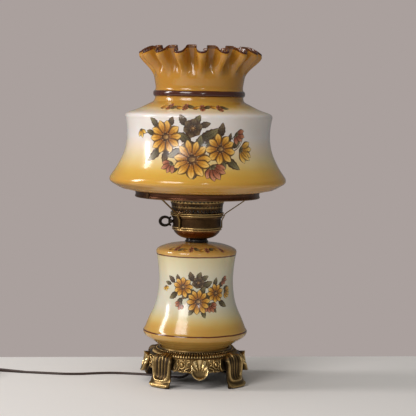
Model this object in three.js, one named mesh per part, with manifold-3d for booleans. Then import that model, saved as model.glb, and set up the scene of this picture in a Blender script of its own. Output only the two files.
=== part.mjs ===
// Electric table lamp in the shape of an oil lamp: cast foot, opal glass font, brass burner with a
// key, ring and arms, and an opal glass shade with a ruffled rim.
// Millimetres, +Z up. The origin is on the table, under the lamp's axis. The key points to -X.

import * as THREE from 'three';
import { mergeVertices } from 'three/addons/utils/BufferGeometryUtils.js';
import Module from 'manifold-3d';

const wasm = await Module();
wasm.setup();

// ---------------------------------------------------------------- driving dimensions

const GAP = 0.3; // clearance between pieces that touch
const MEDIUM = 32; // segments round the wide pieces, two to a lobe of the shade's ruffle
const COARSE = 20; // segments round the socket, the bulb and other small pieces

// Heights above the table.
const FONT_Z = 47.5; // lower rim of the font, on the foot's seat
const COLLAR_Z = 202.4; // underside of the neck collar
const BOWL_Z = 207.9; // underside of the burner's bowl
const BAND_Z = 222.8; // lower edge of the burner's drum
const GALLERY_Z = 243.7; // lower edge of the gallery
const RING_Z = 267.4; // lower edge of the shade ring
const SHADE_Z = 272.5; // lower rim of the shade, on the ring's ledge
const KEY_Z = 232.1; // axis of the key

// The pipe that clamps the lamp together, and what is threaded on it.
const PIPE_R = 4.76;
const PIPE_BORE_R = 3.4;
const PIPE_TOP_Z = 219;
const PIPE_END_Z = 34;
const BORE_R = PIPE_R + GAP; // every hole that the pipe goes through

// Radii.
const TOE_R = 84.5; // outer end of the toes
const LEG_WIDTH = 26;
const FOOT_LEGS = 4;
const BAND_R = 35.2;
const GALLERY_R = 38.4;
const RING_R = 90;
const LEDGE_R = 78; // inner edge of the ring's ledge
const SHEET = 1.2; // thickness of the burner's and the ring's sheet brass

// The ruffle of the shade's rim.
const LOBES = 16;
const RUFFLE_Z = 436; // the flutes start here
const RIM_Z = 478.5; // mean height of the rim
const LOBE_ANGLE = THREE.MathUtils.degToRad(-94); // direction of one lobe, from +X

// Ring arms, as directions from +X.
const ARM_ANGLES = [-139, -19, 101].map(THREE.MathUtils.degToRad);
const ARM_WIDTH = 3;
const PAD_WIDTH = 7;
const ARM_THICKNESS = 1.6;
const RIVET_AT_R = 82;
const RIVET_R = 1.4;

// The key: an oval loop on a shaft along X, whose tip is inside the switch.
const STEM_R = 2.2;
const STEM_TIP_X = -9;
const LOOP_X = -46;
const LOOP_RX = 9;

// The switch's block and its wire terminals, one on each side of it.
const SWITCH_R = 12.2;
const TERMINAL_R = 1;
const TERMINAL_Z = 231.3;

// The mains cord.
const CORD_D = 5.3;
const CORD_R = CORD_D / 2;
const EXIT_Z = 32.5; // lower face of the pipe bushing
const COIL_CENTRE = new THREE.Vector2(-328, 46);
const COIL_R = 30; // mean radius of the turns
const COIL_WIDTH = 12.4; // four flat turns side by side
const COIL_Z = 1.05; // the turns lie on the tie, which goes under them
const COIL_ROWS = 2;
const TIE_ANGLE = THREE.MathUtils.degToRad(300);
const TIE_WIDTH = 7;
const TIE_Z = 0.05;

// ---------------------------------------------------------------- materials

const metal = (color, roughness) => new THREE.MeshStandardMaterial({ color, roughness, metalness: 1 });
const plain = (color, roughness) => new THREE.MeshStandardMaterial({ color, roughness, metalness: 0 });

const ANTIQUE_BRASS = metal(0xa58a54, 0.35);
const BURNER_BRONZE = metal(0x7a5636, 0.35);
const RING_COPPER = metal(0x6a4336, 0.4);
const BRIGHT_BRASS = metal(0xc9a765, 0.3);
const BLACK_METAL = metal(0x2a2622, 0.45);
const STEEL = metal(0xb4b2ad, 0.4);
const OPAL_GLASS = plain(0xd9ab52, 0.12);
const CLEAR_GLASS = new THREE.MeshStandardMaterial({
  color: 0xf2f6f6, roughness: 0.03, metalness: 0, transparent: true, opacity: 0.3,
});
const BULB_GLASS = plain(0xf3f0e8, 0.35);
const PHENOLIC = plain(0x2b201a, 0.5);
const FIBRE = plain(0x8b7a5d, 0.9);
const CORD_VINYL = plain(0x3a2a22, 0.45);

// ---------------------------------------------------------------- geometry helpers

const model = new THREE.Group();

function add(name, geometry, material) {
  const mesh = new THREE.Mesh(geometry, material);
  mesh.name = name;
  model.add(mesh);
  return mesh;
}

// A solid of revolution about Z. The profile is a list of [radius, height], anticlockwise as seen
// with the radius to the right; one that doesn't start on the axis is closed on itself.
function turned(profile, segments) {
  const points = profile.map(([r, z]) => new THREE.Vector2(r, z));
  if (points[0].x > 0) points.push(points[0].clone());
  const geometry = new THREE.LatheGeometry(points, segments);
  geometry.rotateX(Math.PI / 2);
  return geometry;
}

const tube = (inner, outer, low, high) => [[inner, low], [outer, low], [outer, high], [inner, high]];

const disc = (radius, low, high) => [[0, low], [radius, low], [radius, high], [0, high]];

// A flat outline in the plane of radius (x) and height (y), given a width across the radius,
// centred on the radius, and turned to an angle about Z.
function radial(shape, width, angle) {
  const geometry = new THREE.ExtrudeGeometry(shape, { depth: width, bevelEnabled: false });
  geometry.translate(0, 0, -width / 2);
  geometry.rotateX(Math.PI / 2);
  geometry.rotateZ(angle);
  return geometry;
}

// A shape through a list of [x, y] corners.
const outline = (corners) => new THREE.Shape(corners.map(([x, y]) => new THREE.Vector2(x, y)));

// The outline of a strip of an even thickness along a list of [x, y] points.
function strip(points, thickness) {
  const line = points.map(([x, y]) => new THREE.Vector2(x, y));
  const sides = [[], []];
  line.forEach((point, i) => {
    const before = line[Math.max(i - 1, 0)];
    const after = line[Math.min(i + 1, line.length - 1)];
    const inward = point.clone().sub(before).normalize();
    const outward = after.clone().sub(point).normalize();
    const along = inward.add(outward).normalize();
    const across = new THREE.Vector2(-along.y, along.x).multiplyScalar(thickness / 2);
    sides[0].push(point.clone().add(across));
    sides[1].unshift(point.clone().sub(across));
  });
  return new THREE.Shape([...sides[0], ...sides[1]]);
}

// A round bar along a curve, its ends square to the curve.
function bar(curve, radius, sides, steps) {
  const section = new THREE.Shape();
  for (let i = 0; i < sides; i += 1) {
    const a = (2 * Math.PI * (i + 0.5)) / sides;
    const corner = [radius * Math.cos(a), radius * Math.sin(a)];
    if (i === 0) section.moveTo(...corner);
    else section.lineTo(...corner);
  }
  section.closePath();
  return new THREE.ExtrudeGeometry(section, { steps, extrudePath: curve, bevelEnabled: false });
}

// A cylinder along X from x = low to x = high, at the key's height.
function crossBar(radius, low, high, segments) {
  const geometry = new THREE.CylinderGeometry(radius, radius, high - low, segments);
  geometry.rotateZ(Math.PI / 2);
  geometry.translate((low + high) / 2, 0, KEY_Z);
  return geometry;
}

function toSolid(geometry) {
  const bare = geometry.clone();
  bare.deleteAttribute('normal');
  bare.deleteAttribute('uv');
  const merged = mergeVertices(bare, 1e-4);
  return new wasm.Manifold(new wasm.Mesh({
    numProp: 3,
    vertProperties: new Float32Array(merged.attributes.position.array),
    triVerts: new Uint32Array(merged.index.array),
  }));
}

function toGeometry(solid) {
  const { vertProperties, triVerts } = solid.getMesh();
  const geometry = new THREE.BufferGeometry();
  geometry.setAttribute('position', new THREE.BufferAttribute(vertProperties, 3));
  geometry.setIndex(new THREE.BufferAttribute(triVerts, 1));
  return geometry;
}

const joined = (...geometries) => toGeometry(
  geometries.map(toSolid).reduce((whole, piece) => whole.add(piece)),
);

const cut = (geometry, ...tools) => toGeometry(
  tools.map(toSolid).reduce((rest, tool) => rest.subtract(tool), toSolid(geometry)),
);

// ---------------------------------------------------------------- foot

function footShell() {
  const lip = FONT_Z + 4.3;
  const seat = FONT_Z - GAP;
  return turned([
    [BORE_R, 42], [50, 42.6], [63, 38.6], [65.4, 33], [65.4, 24], [68.6, 24], [68.4, 36], [66, 42],
    [60.5, 45.8], [52, lip], [50.2, lip], [49, seat], [41, seat], [39, 45], [BORE_R, 45],
  ], MEDIUM);
}

// A leg stands out from the shell's shoulder, bows in at the ankle and rolls out to a flat toe.
function footLeg(angle) {
  const side = outline([
    [57, 41], [61, 44.6], [67, 43.4], [72.5, 39.5], [75.5, 33], [75.2, 24], [75.6, 15], [78.5, 8.4],
    [TOE_R - 0.5, 5], [TOE_R, 0], [70, 0], [68, 6], [66.4, 16], [65.6, 26], [63.5, 36],
  ]);
  return radial(side, LEG_WIDTH, angle);
}

// A scallop shell hangs below the middle of each apron: a tongue with a round lower end.
function footScallop(angle) {
  const front = new THREE.Shape();
  const half = 12.5;
  front.moveTo(half, 40);
  front.lineTo(-half, 40);
  front.lineTo(-half, 27);
  front.absarc(0, 27, half, Math.PI, 2 * Math.PI, false);
  const settings = { depth: 9.5, bevelEnabled: false, curveSegments: 10 };
  const geometry = new THREE.ExtrudeGeometry(front, settings);
  geometry.rotateX(Math.PI / 2);
  geometry.rotateZ(Math.PI / 2);
  geometry.translate(65.8, 0, 0);
  geometry.rotateZ(angle);
  return geometry;
}

function foot() {
  const pieces = [footShell()];
  for (let i = 0; i < FOOT_LEGS; i += 1) {
    const quarter = (2 * Math.PI * i) / FOOT_LEGS;
    pieces.push(footLeg(quarter + Math.PI / FOOT_LEGS));
    pieces.push(footScallop(quarter));
  }
  add('foot_casting', joined(...pieces), ANTIQUE_BRASS);
}

// ---------------------------------------------------------------- font

function font() {
  const top = COLLAR_Z - GAP;
  add('font_glass', turned([
    [43, FONT_Z], [46.5, FONT_Z], [49.3, 51.6], [61.9, 60.6], [69.5, 65.2], [73.7, 69.4], [75, 73.6],
    [73.2, 79], [66, 95], [60.2, 108], [56.2, 124], [53.8, 144], [54.6, 168], [58, 188.5],
    [56.4, 192.4], [50, 195.8], [39.6, 198.8], [16.6, top], [9.6, top], [9.6, 198.6], [38, 195.3],
    [53.4, 189.6], [50.3, 150], [56.8, 109], [71.3, 73.4], [66.4, 67.6], [43, 52],
  ], MEDIUM), OPAL_GLASS);
}

// ---------------------------------------------------------------- pipe and fasteners

function hexNut(name, acrossCorners, low, high) {
  const prism = new THREE.CylinderGeometry(acrossCorners / 2, acrossCorners / 2, high - low, 6);
  prism.rotateX(Math.PI / 2);
  prism.translate(0, 0, (low + high) / 2);
  const hole = turned(disc(BORE_R, low - 1, high + 1), COARSE);
  add(name, cut(prism, hole), STEEL);
}

function pipeAndFasteners() {
  add('lamp_pipe', turned(tube(PIPE_BORE_R, PIPE_R, PIPE_END_Z, PIPE_TOP_Z), COARSE), STEEL);
  add('lock_washer', turned(tube(BORE_R, 9.5, 40.6, 41.7), COARSE), STEEL);
  hexNut('bottom_nut', 17, 36, 40.3);
  hexNut('burner_locknut', 17, 209.4, 212.9);
  add('pipe_bushing', turned([
    [CORD_R + GAP, EXIT_Z], [6, EXIT_Z], [6, PIPE_END_Z - GAP], [CORD_R + GAP, PIPE_END_Z - GAP],
  ], COARSE), PHENOLIC);
  add('neck_collar', turned([
    [BORE_R, 197], [9.2, 197], [9.2, COLLAR_Z], [16, COLLAR_Z], [16.8, 203.6], [16.8, 206.4],
    [16.2, BOWL_Z - GAP], [BORE_R, BOWL_Z - GAP],
  ], COARSE), BLACK_METAL);
}

// ---------------------------------------------------------------- burner

const stemBore = () => crossBar(STEM_R + GAP, LOOP_X, STEM_TIP_X + GAP, 12);

function burner() {
  add('burner_bowl', turned([
    [BORE_R, BOWL_Z], [16.4, BOWL_Z], [22.4, 212.2], [28.6, 217.4], [34.2, 221.2],
    [34.2, BAND_Z - GAP], [33, BAND_Z - GAP], [27.8, 218.8], [16, BOWL_Z + SHEET], [BORE_R, BOWL_Z + SHEET],
  ], MEDIUM), BURNER_BRONZE);
  const band = turned([
    [33.6, BAND_Z], [34.6, BAND_Z], [BAND_R, 224.4], [BAND_R, 238.2], [38.4, 240.8],
    [38.4, 242.4], [37.6, GALLERY_Z - GAP], [35.6, GALLERY_Z - GAP], [34, 239.4],
  ], MEDIUM);
  add('burner_band', cut(band, stemBore()), BURNER_BRONZE);
  const floor = GALLERY_Z + SHEET;
  add('burner_gallery', turned([
    [19, GALLERY_Z], [37.6, GALLERY_Z], [GALLERY_R + 0.4, 245], [GALLERY_R, 246.4],
    [GALLERY_R, 262], [GALLERY_R - SHEET, 262], [GALLERY_R - SHEET, floor], [19, floor],
  ], MEDIUM), BURNER_BRONZE);
}

function key() {
  const stemEnd = LOOP_X + LOOP_RX + 1;
  add('key_stem', crossBar(STEM_R, stemEnd, STEM_TIP_X, 12), BLACK_METAL);
  const loop = new THREE.Shape();
  loop.absellipse(LOOP_X, KEY_Z, LOOP_RX, 7.8, 0, 2 * Math.PI, false, 0);
  const hole = new THREE.Path();
  hole.absellipse(LOOP_X, KEY_Z, 4.8, 4.3, 0, 2 * Math.PI, true, 0);
  loop.holes.push(hole);
  const thickness = 3.2;
  const settings = { depth: thickness, bevelEnabled: false, curveSegments: 12 };
  const ring = new THREE.ExtrudeGeometry(loop, settings);
  ring.translate(0, 0, -thickness / 2);
  ring.rotateX(Math.PI / 2);
  // A small boss carries the loop on the stem's end.
  const boss = crossBar(2.6, LOOP_X + 5.4, stemEnd - GAP, 12);
  add('key_loop', joined(ring, boss), BLACK_METAL);
}

// ---------------------------------------------------------------- socket and bulb

// A cylinder along Y on the given side of the switch, between two distances from its axis.
function screwBar(radius, near, far, side) {
  const geometry = new THREE.CylinderGeometry(radius, radius, far - near, 8);
  geometry.translate(0, (side * (near + far)) / 2, TERMINAL_Z);
  return geometry;
}

function socket() {
  add('socket_cap', turned([
    [BORE_R, 213.2], [7.5, 213.2], [7.5, 217.6], [17.3, 221.8], [17.3, 226], [16.5, 226],
    [16.5, 222.6], [7.4, 218.7], [BORE_R, 218.7],
  ], COARSE), BRIGHT_BRASS);
  const bore = stemBore();
  add('socket_shell', cut(turned(tube(16.6, 17.3, 226.3, 254), COARSE), bore), BRIGHT_BRASS);
  add('socket_liner', cut(turned(tube(15.6, 16.2, 226.6, 254), COARSE), bore), FIBRE);
  const block = turned(tube(3.4, SWITCH_R, 223.7, 238), COARSE);
  const screwHoles = [-1, 1].map((side) => screwBar(TERMINAL_R + GAP, 0, SWITCH_R, side));
  add('socket_switch_body', cut(block, bore, ...screwHoles), PHENOLIC);
  add('socket_screw_shell', turned(tube(13.3, 13.9, 238.3, 255.5), COARSE), BRIGHT_BRASS);
  add('socket_contact', turned(disc(4, 238.3, 239.4), 12), BRIGHT_BRASS);
  [-1, 1].forEach((side, i) => {
    const shank = screwBar(TERMINAL_R, SWITCH_R - 3, SWITCH_R + 1, side);
    const head = screwBar(1.9, SWITCH_R + GAP, SWITCH_R + 2.6, side);
    add(`terminal_screw_${i + 1}`, joined(shank, head), BRIGHT_BRASS);
  });
}

function bulb() {
  add('bulb_contact', turned(disc(4, 239.8, 241.2), 12), STEEL);
  add('bulb_base', turned([
    [0, 241.5], [8, 241.5], [12.9, 245.5], [12.9, 261.5], [11.8, 263], [0, 263],
  ], COARSE), STEEL);
  // The envelope is hollow, and open at the neck where it meets the base.
  add('bulb_glass', turned([
    [0, 328.5], [14, 324.1], [20.9, 315.4], [23, 305], [21.4, 294.4], [16.9, 284.4], [12.4, 272],
    [10.4, 263.3], [11.5, 263.3], [13.5, 272], [18, 284], [22.5, 294], [24, 305], [22, 316],
    [15, 325], [0, 329.6],
  ], COARSE), BULB_GLASS);
}

function chimney() {
  const seat = GALLERY_Z + SHEET + GAP;
  add('chimney_glass', turned([
    [34.6, seat], [36.8, seat], [36.8, 268], [43, 283], [49, 301], [50, 316], [47, 342],
    [34, 404], [30.4, 463], [28.4, 463], [32, 404], [45, 342], [48, 316], [47, 302], [34.7, 269],
  ], MEDIUM), CLEAR_GLASS);
}

// ---------------------------------------------------------------- ring and arms

function rivetHole(angle) {
  const geometry = turned(disc(RIVET_R + GAP, RING_Z - 5, RING_Z + 10), 12);
  geometry.translate(RIVET_AT_R, 0, 0);
  geometry.rotateZ(angle);
  return geometry;
}

function ringAndArms() {
  const ledgeLow = 271;
  const ledgeHigh = SHADE_Z - GAP;
  const band = RING_R - SHEET;
  const ring = turned([
    [band, RING_Z], [RING_R, RING_Z], [RING_R, 276.6], [band, 276.6], [band, ledgeHigh],
    [LEDGE_R, ledgeHigh], [LEDGE_R, ledgeLow], [band, ledgeLow],
  ], MEDIUM);
  add('shade_ring', cut(ring, ...ARM_ANGLES.map(rivetHole)), RING_COPPER);
  const padZ = ledgeLow - GAP - ARM_THICKNESS / 2;
  const rod = strip([
    [80, padZ], [76, padZ], [41.8, 244.8], [40, 242.4], [39.5, 240], [36.9, 235.6], [36.9, 224],
  ], ARM_THICKNESS);
  const pad = strip([[86.5, padZ], [77.5, padZ]], ARM_THICKNESS);
  ARM_ANGLES.forEach((angle, i) => {
    const arm = joined(radial(rod, ARM_WIDTH, angle), radial(pad, PAD_WIDTH, angle));
    add(`ring_arm_${i + 1}`, cut(arm, rivetHole(angle)), BRIGHT_BRASS);
    const headTop = padZ - ARM_THICKNESS / 2 - GAP;
    const rivet = turned([
      [0, headTop - 1.2], [2.2, headTop - 0.8], [2.6, headTop], [RIVET_R, headTop],
      [RIVET_R, ledgeHigh], [0, ledgeHigh],
    ], 12);
    rivet.translate(RIVET_AT_R, 0, 0);
    rivet.rotateZ(angle);
    add(`arm_rivet_${i + 1}`, rivet, BRIGHT_BRASS);
  });
}

// ---------------------------------------------------------------- shade

// How far a lobe stands out at a share u of the ruffle's height, and how far it drops.
const { smoothstep } = THREE.MathUtils;
const ruffleOut = (u) => 11 * smoothstep(u, 0, 0.8) - 2 * smoothstep(u, 0.8, 1);
const ruffleDrop = (u) => 6.5 * u * u;

function ruffle(geometry) {
  const position = geometry.attributes.position;
  for (let i = 0; i < position.count; i += 1) {
    const x = position.getX(i);
    const y = position.getY(i);
    const z = position.getZ(i);
    const u = (z - RUFFLE_Z) / (RIM_Z - RUFFLE_Z);
    if (u > 0) {
      const wave = Math.cos(LOBES * Math.atan2(y, x));
      const grow = 1 + (ruffleOut(u) * wave) / Math.hypot(x, y);
      position.setXYZ(i, x * grow, y * grow, z - ruffleDrop(u) * wave);
    }
  }
}

function shade() {
  const geometry = turned([
    [83.6, SHADE_Z], [87.4, SHADE_Z], [88.2, 277], [110, 280.6], [124.7, 288], [127, 292.6],
    [107.6, 328], [102.8, 357], [105.4, 382], [99, 389.4], [72.6, 401], [63.8, 408], [67.3, 413],
    [67.3, 419], [63.4, 424], [64.6, RUFFLE_Z], [70, 456], [79, RIM_Z], [76, RIM_Z], [67, 456],
    [61.4, RUFFLE_Z], [61, 403], [97, 386], [99.2, 357], [122.6, 293], [109, 284.4], [83.6, 280],
  ], MEDIUM);
  ruffle(geometry);
  geometry.rotateZ(LOBE_ANGLE);
  add('shade_glass', geometry, OPAL_GLASS);
}

// ---------------------------------------------------------------- wiring

function wiring() {
  const top = PIPE_TOP_Z + 0.6;
  const straight = new THREE.LineCurve3(
    new THREE.Vector3(0, 0, EXIT_Z + GAP),
    new THREE.Vector3(0, 0, top),
  );
  add('inner_cord', bar(straight, CORD_R, 8, 1), CORD_VINYL);
  // Each lead runs out under the switch's block and up its side to the terminal.
  const route = [[1.35, 0.4], [1.7, 1.3], [4, 2.2], [8, 2.5], [11, 2.6], [13.2, 3], [14.3, 4.8], [14.3, 9.3]];
  [-1, 1].forEach((side, i) => {
    const points = route.map(([y, rise]) => new THREE.Vector3(0, side * y, top + rise));
    add(`lead_${i + 1}`, bar(new THREE.CatmullRomCurve3(points), 0.9, 6, 10), CORD_VINYL);
  });
}

// ---------------------------------------------------------------- mains cord

// The cord comes straight down out of the bushing, bends to the table, passes between the two
// legs on the left and lies along the table in slack waves.
const CORD_ROUTE = [
  [0, 0, EXIT_Z], [0, 0, 27.5], [-1.7, 0.9, 18], [-6.4, 3.4, 10], [-13.5, 7.2, 4.9], [-22, 11.7, 2.9],
  [-40, 21.5, 2.75], [-61, 32, 2.75], [-82, 39.5, 2.75], [-102, 45, 2.75], [-121, 47.5, 2.75],
  [-141, 45.5, 2.75], [-164, 41, 2.75], [-187, 41.5, 2.75], [-210, 47, 2.75], [-234, 53.5, 2.75],
  [-257, 59.5, 2.75], [-281, 67.2, 2.75], [-300.2, 73.4, 3.2],
];

// It leaves the coil's top row and comes down to the plug, which lies on the table.
const TAIL_ROUTE = [[-358.3, 19.9, 7.6], [-356.5, 10.1, 6.5], [-354.8, 0.8, 5.8], [-353.3, -7.3, 5.6]];
const PLUG_AT = new THREE.Vector2(-353.25, -7.6);
const PLUG_ANGLE = THREE.MathUtils.degToRad(-79.6);
const PLUG_LENGTH = 26;
const PLUG_THICKNESS = 11;
const PLUG_Z = 0.1; // underside of the plug
const BLADE_SPACING = 12.7;

const curveThrough = (points) => new THREE.CatmullRomCurve3(points.map((p) => new THREE.Vector3(...p)));

// Moves a piece made along +X from the cord's end to where the plug lies.
function atPlug(geometry) {
  geometry.rotateZ(PLUG_ANGLE);
  geometry.translate(PLUG_AT.x, PLUG_AT.y, 0);
  return geometry;
}

function cord() {
  add('cord_tube', bar(curveThrough(CORD_ROUTE), CORD_R, 8, 38), CORD_VINYL);
  add('cord_tail', bar(curveThrough(TAIL_ROUTE), CORD_R, 8, 4), CORD_VINYL);
  const inner = COIL_R - COIL_WIDTH / 2;
  const outer = COIL_R + COIL_WIDTH / 2;
  const top = COIL_Z + COIL_ROWS * CORD_D;
  const bevel = 1;
  const coil = turned([
    [inner, COIL_Z + bevel], [inner + bevel, COIL_Z], [outer - bevel, COIL_Z], [outer, COIL_Z + bevel],
    [outer, top - bevel], [outer - bevel, top], [inner + bevel, top], [inner, top - bevel],
  ], MEDIUM);
  coil.translate(COIL_CENTRE.x, COIL_CENTRE.y, 0);
  add('cord_coil', coil, CORD_VINYL);
  // The tie is a flat band round the bundle of turns.
  const room = 0.7;
  const thickness = 0.75;
  const frame = (grow, low, high) => outline([
    [inner - grow, low], [outer + grow, low], [outer + grow, high], [inner - grow, high],
  ]);
  const tie = frame(room + thickness, TIE_Z, top + GAP + thickness);
  tie.holes.push(frame(room, TIE_Z + thickness, top + GAP));
  const band = radial(tie, TIE_WIDTH, TIE_ANGLE);
  band.translate(COIL_CENTRE.x, COIL_CENTRE.y, 0);
  add('cord_tie', band, PHENOLIC);
}

function plug() {
  const body = outline([
    [0, -4], [6, -5], [11, -10], [PLUG_LENGTH, -11], [PLUG_LENGTH, 11], [11, 10], [6, 5], [0, 4],
  ]);
  const shell = new THREE.ExtrudeGeometry(body, { depth: PLUG_THICKNESS, bevelEnabled: false });
  shell.translate(0, 0, PLUG_Z);
  add('plug_body', atPlug(shell), CORD_VINYL);
  [-1, 1].forEach((side, i) => {
    const blade = new THREE.BoxGeometry(17.5, 1.5, 6.35);
    blade.translate(
      PLUG_LENGTH + GAP + 17.5 / 2, (side * BLADE_SPACING) / 2, PLUG_Z + PLUG_THICKNESS / 2,
    );
    add(`plug_blade_${i + 1}`, atPlug(blade), BRIGHT_BRASS);
  });
}

foot();
font();
pipeAndFasteners();
burner();
key();
socket();
bulb();
chimney();
ringAndArms();
shade();
wiring();
cord();
plug();

export default model;
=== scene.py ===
"""Electric parlour lamp in the shape of an oil lamp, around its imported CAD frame.

The scene is in metres in the part's frame. Shapes are written in millimetres and scaled by MM where
a mesh is made; only the cord's exit and route are written in metres, as in the CAD. The lamp stands
on the table with its axis on +Z and its key towards -X.
"""

import math

import bpy
import numpy as np
from mathutils import Matrix, Vector


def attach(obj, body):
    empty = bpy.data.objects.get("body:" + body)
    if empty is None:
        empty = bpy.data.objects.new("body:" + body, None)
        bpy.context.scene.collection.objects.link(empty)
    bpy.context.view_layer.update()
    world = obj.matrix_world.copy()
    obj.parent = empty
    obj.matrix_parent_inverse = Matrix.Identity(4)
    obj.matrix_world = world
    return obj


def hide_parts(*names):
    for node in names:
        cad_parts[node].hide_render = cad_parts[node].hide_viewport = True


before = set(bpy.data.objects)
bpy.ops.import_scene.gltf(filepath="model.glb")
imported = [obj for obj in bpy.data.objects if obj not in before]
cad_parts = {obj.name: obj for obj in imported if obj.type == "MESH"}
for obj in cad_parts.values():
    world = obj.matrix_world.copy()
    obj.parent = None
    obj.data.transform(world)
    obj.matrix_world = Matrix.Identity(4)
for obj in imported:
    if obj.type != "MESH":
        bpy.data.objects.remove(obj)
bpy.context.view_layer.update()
MM = 0.001


# ---------------------------------------------------------------- camera and colours


def aim(obj, at, towards):
    """Puts an object at a point, with its own -Z looking towards another."""
    obj.location = at
    obj.rotation_euler = (Vector(towards) - Vector(at)).to_track_quat("-Z", "Y").to_euler()


def make_camera():
    """The camera stands a little left of the lamp's front, near the height of the shade's neck."""
    distance, height, azimuth = 2.105, 0.4195, math.radians(-6)
    pan, tilt, roll = math.radians(0.425), math.radians(-4.557), math.radians(1.04)
    data = bpy.data.cameras.new("camera")
    data.sensor_width = 36.0
    data.lens = 126.5
    data.clip_end = 20.0
    camera = bpy.data.objects.new("camera", data)
    bpy.context.scene.collection.objects.link(camera)
    turn = Matrix.Rotation(azimuth - pan, 4, "Z") @ Matrix.Rotation(math.pi / 2 + tilt, 4, "X")
    place = Matrix.Translation((math.sin(azimuth) * distance, -math.cos(azimuth) * distance, height))
    camera.matrix_world = place @ turn @ Matrix.Rotation(roll, 4, "Z")
    bpy.context.scene.camera = camera


def linear(red, green, blue):
    """A colour given in 0-255 display values, as the renderer's linear values."""
    def one(value):
        share = value / 255
        return share / 12.92 if share <= 0.04045 else ((share + 0.055) / 1.055) ** 2.4
    return (one(red), one(green), one(blue), 1.0)


# ---------------------------------------------------------------- shader helpers


class Tree:
    """A material's node tree, with short ways to add the nodes used here."""

    def __init__(self, name):
        self.material = bpy.data.materials.new(name)
        self.material.use_nodes = True
        self.nodes = self.material.node_tree.nodes
        self.links = self.material.node_tree.links
        self.bsdf = self.nodes["Principled BSDF"]

    def add(self, kind, inputs=None, **settings):
        node = self.nodes.new(kind)
        for key, value in settings.items():
            setattr(node, key, value)
        for key, value in (inputs or {}).items():
            self.feed(node.inputs[key], value)
        return node

    def feed(self, socket, value):
        if isinstance(value, bpy.types.NodeSocket):
            self.links.new(value, socket)
        else:
            socket.default_value = value

    def set(self, **sockets):
        """Sets the surface's sockets, with underscores for the spaces in their names."""
        for key, value in sockets.items():
            self.feed(self.bsdf.inputs[key.replace("_", " ")], value)

    def math(self, operation, *values, clamp=False):
        node = self.add("ShaderNodeMath", dict(enumerate(values)), operation=operation, use_clamp=clamp)
        return node.outputs[0]

    def place(self):
        """The point on the piece, in metres, at rest."""
        return self.add("ShaderNodeTexCoord").outputs["Object"]

    def attribute(self, name):
        return self.add("ShaderNodeAttribute", attribute_name=name).outputs["Fac"]

    def noise(self, scale, detail=3.0, roughness=0.5, vector=None):
        """Noise round 0.5, its scale in waves a metre."""
        return self.add("ShaderNodeTexNoise", {
            "Vector": vector or self.place(), "Scale": scale, "Detail": detail, "Roughness": roughness,
        }).outputs["Fac"]

    def stretched(self, x, y, z):
        """The point on the piece with each axis scaled, for streaks."""
        return self.add("ShaderNodeMapping", {"Vector": self.place(), "Scale": (x, y, z)}).outputs[0]

    def height(self):
        """Height above the table in millimetres."""
        z = self.add("ShaderNodeSeparateXYZ", {0: self.place()}).outputs["Z"]
        return self.math("MULTIPLY", z, 1000.0)

    def remap(self, value, low, high, to_low=0.0, to_high=1.0):
        return self.add("ShaderNodeMapRange", {
            "Value": value, "From Min": low, "From Max": high, "To Min": to_low, "To Max": to_high,
        }).outputs[0]

    def ramp(self, value, stops):
        """A colour for each of the stops, (value, colour) in rising order, and a blend between."""
        low, high = stops[0][0], stops[-1][0]
        node = self.add("ShaderNodeValToRGB", {"Fac": self.remap(value, low, high)})
        elements = node.color_ramp.elements
        while len(elements) < len(stops):
            elements.new(0.5)
        for element, (at, colour) in zip(elements, stops):
            element.position = (at - low) / (high - low)
            element.color = colour
        return node.outputs["Color"]

    def mix(self, share, first, second, blend="MIX"):
        node = self.add("ShaderNodeMix", data_type="RGBA", blend_type=blend)
        self.feed(node.inputs[0], share)
        self.feed(node.inputs[6], first)
        self.feed(node.inputs[7], second)
        return node.outputs[2]

    def bump(self, height, distance, strength=1.0, normal=None):
        """A bump of this many metres for a height of 1."""
        inputs = {"Height": height, "Distance": distance, "Strength": strength}
        if normal is not None:
            inputs["Normal"] = normal
        return self.add("ShaderNodeBump", inputs).outputs["Normal"]


# ---------------------------------------------------------------- mesh helpers


def spline(points, steps=8):
    """A smooth line through the points, steps to a span."""
    points = [np.array(p, float) for p in points]
    if len(points) == 2:
        return [points[0] + (points[1] - points[0]) * i / steps for i in range(steps + 1)]
    ends = [2 * points[0] - points[1]] + points + [2 * points[-1] - points[-2]]
    line = []
    for a, b, c, d in zip(ends, ends[1:], ends[2:], ends[3:]):
        t1 = max(np.linalg.norm(b - a), 1e-9) ** 0.5
        t2 = t1 + max(np.linalg.norm(c - b), 1e-9) ** 0.5
        t3 = t2 + max(np.linalg.norm(d - c), 1e-9) ** 0.5
        for i in range(steps):
            t = t1 + (t2 - t1) * i / steps
            ab = a + (b - a) * t / t1
            bc = b + (c - b) * (t - t1) / (t2 - t1)
            cd = c + (d - c) * (t - t2) / (t3 - t2)
            abc = ab + (bc - ab) * t / t2
            bcd = bc + (cd - bc) * (t - t1) / (t3 - t1)
            line.append(abc + (bcd - abc) * (t - t1) / (t2 - t1))
    line.append(points[-1])
    return line


def outline(*runs, steps=8):
    """One outline from runs of points: smooth along a run, with a corner where two runs meet."""
    line = []
    for run in runs:
        for point in spline(run, steps) if len(run) > 2 else [np.array(p, float) for p in run]:
            if not line or np.linalg.norm(line[-1] - point) > 1e-6:
                line.append(point)
    return line


def smoothstep(low, high, value):
    share = np.clip((np.asarray(value, float) - low) / (high - low), 0, 1)
    return share * share * (3 - 2 * share)


def flip_if_inside_out(verts, faces):
    """Faces in the order that makes the closed mesh's volume positive."""
    verts = np.asarray(verts, float)
    fans = [(f[0], b, c) for f in faces for b, c in zip(f[1:], f[2:])]
    a, b, c = (verts[[fan[k] for fan in fans]] for k in range(3))
    volume = float((a * np.cross(b, c)).sum())
    return [tuple(reversed(face)) for face in faces] if volume < 0 else faces


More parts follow.
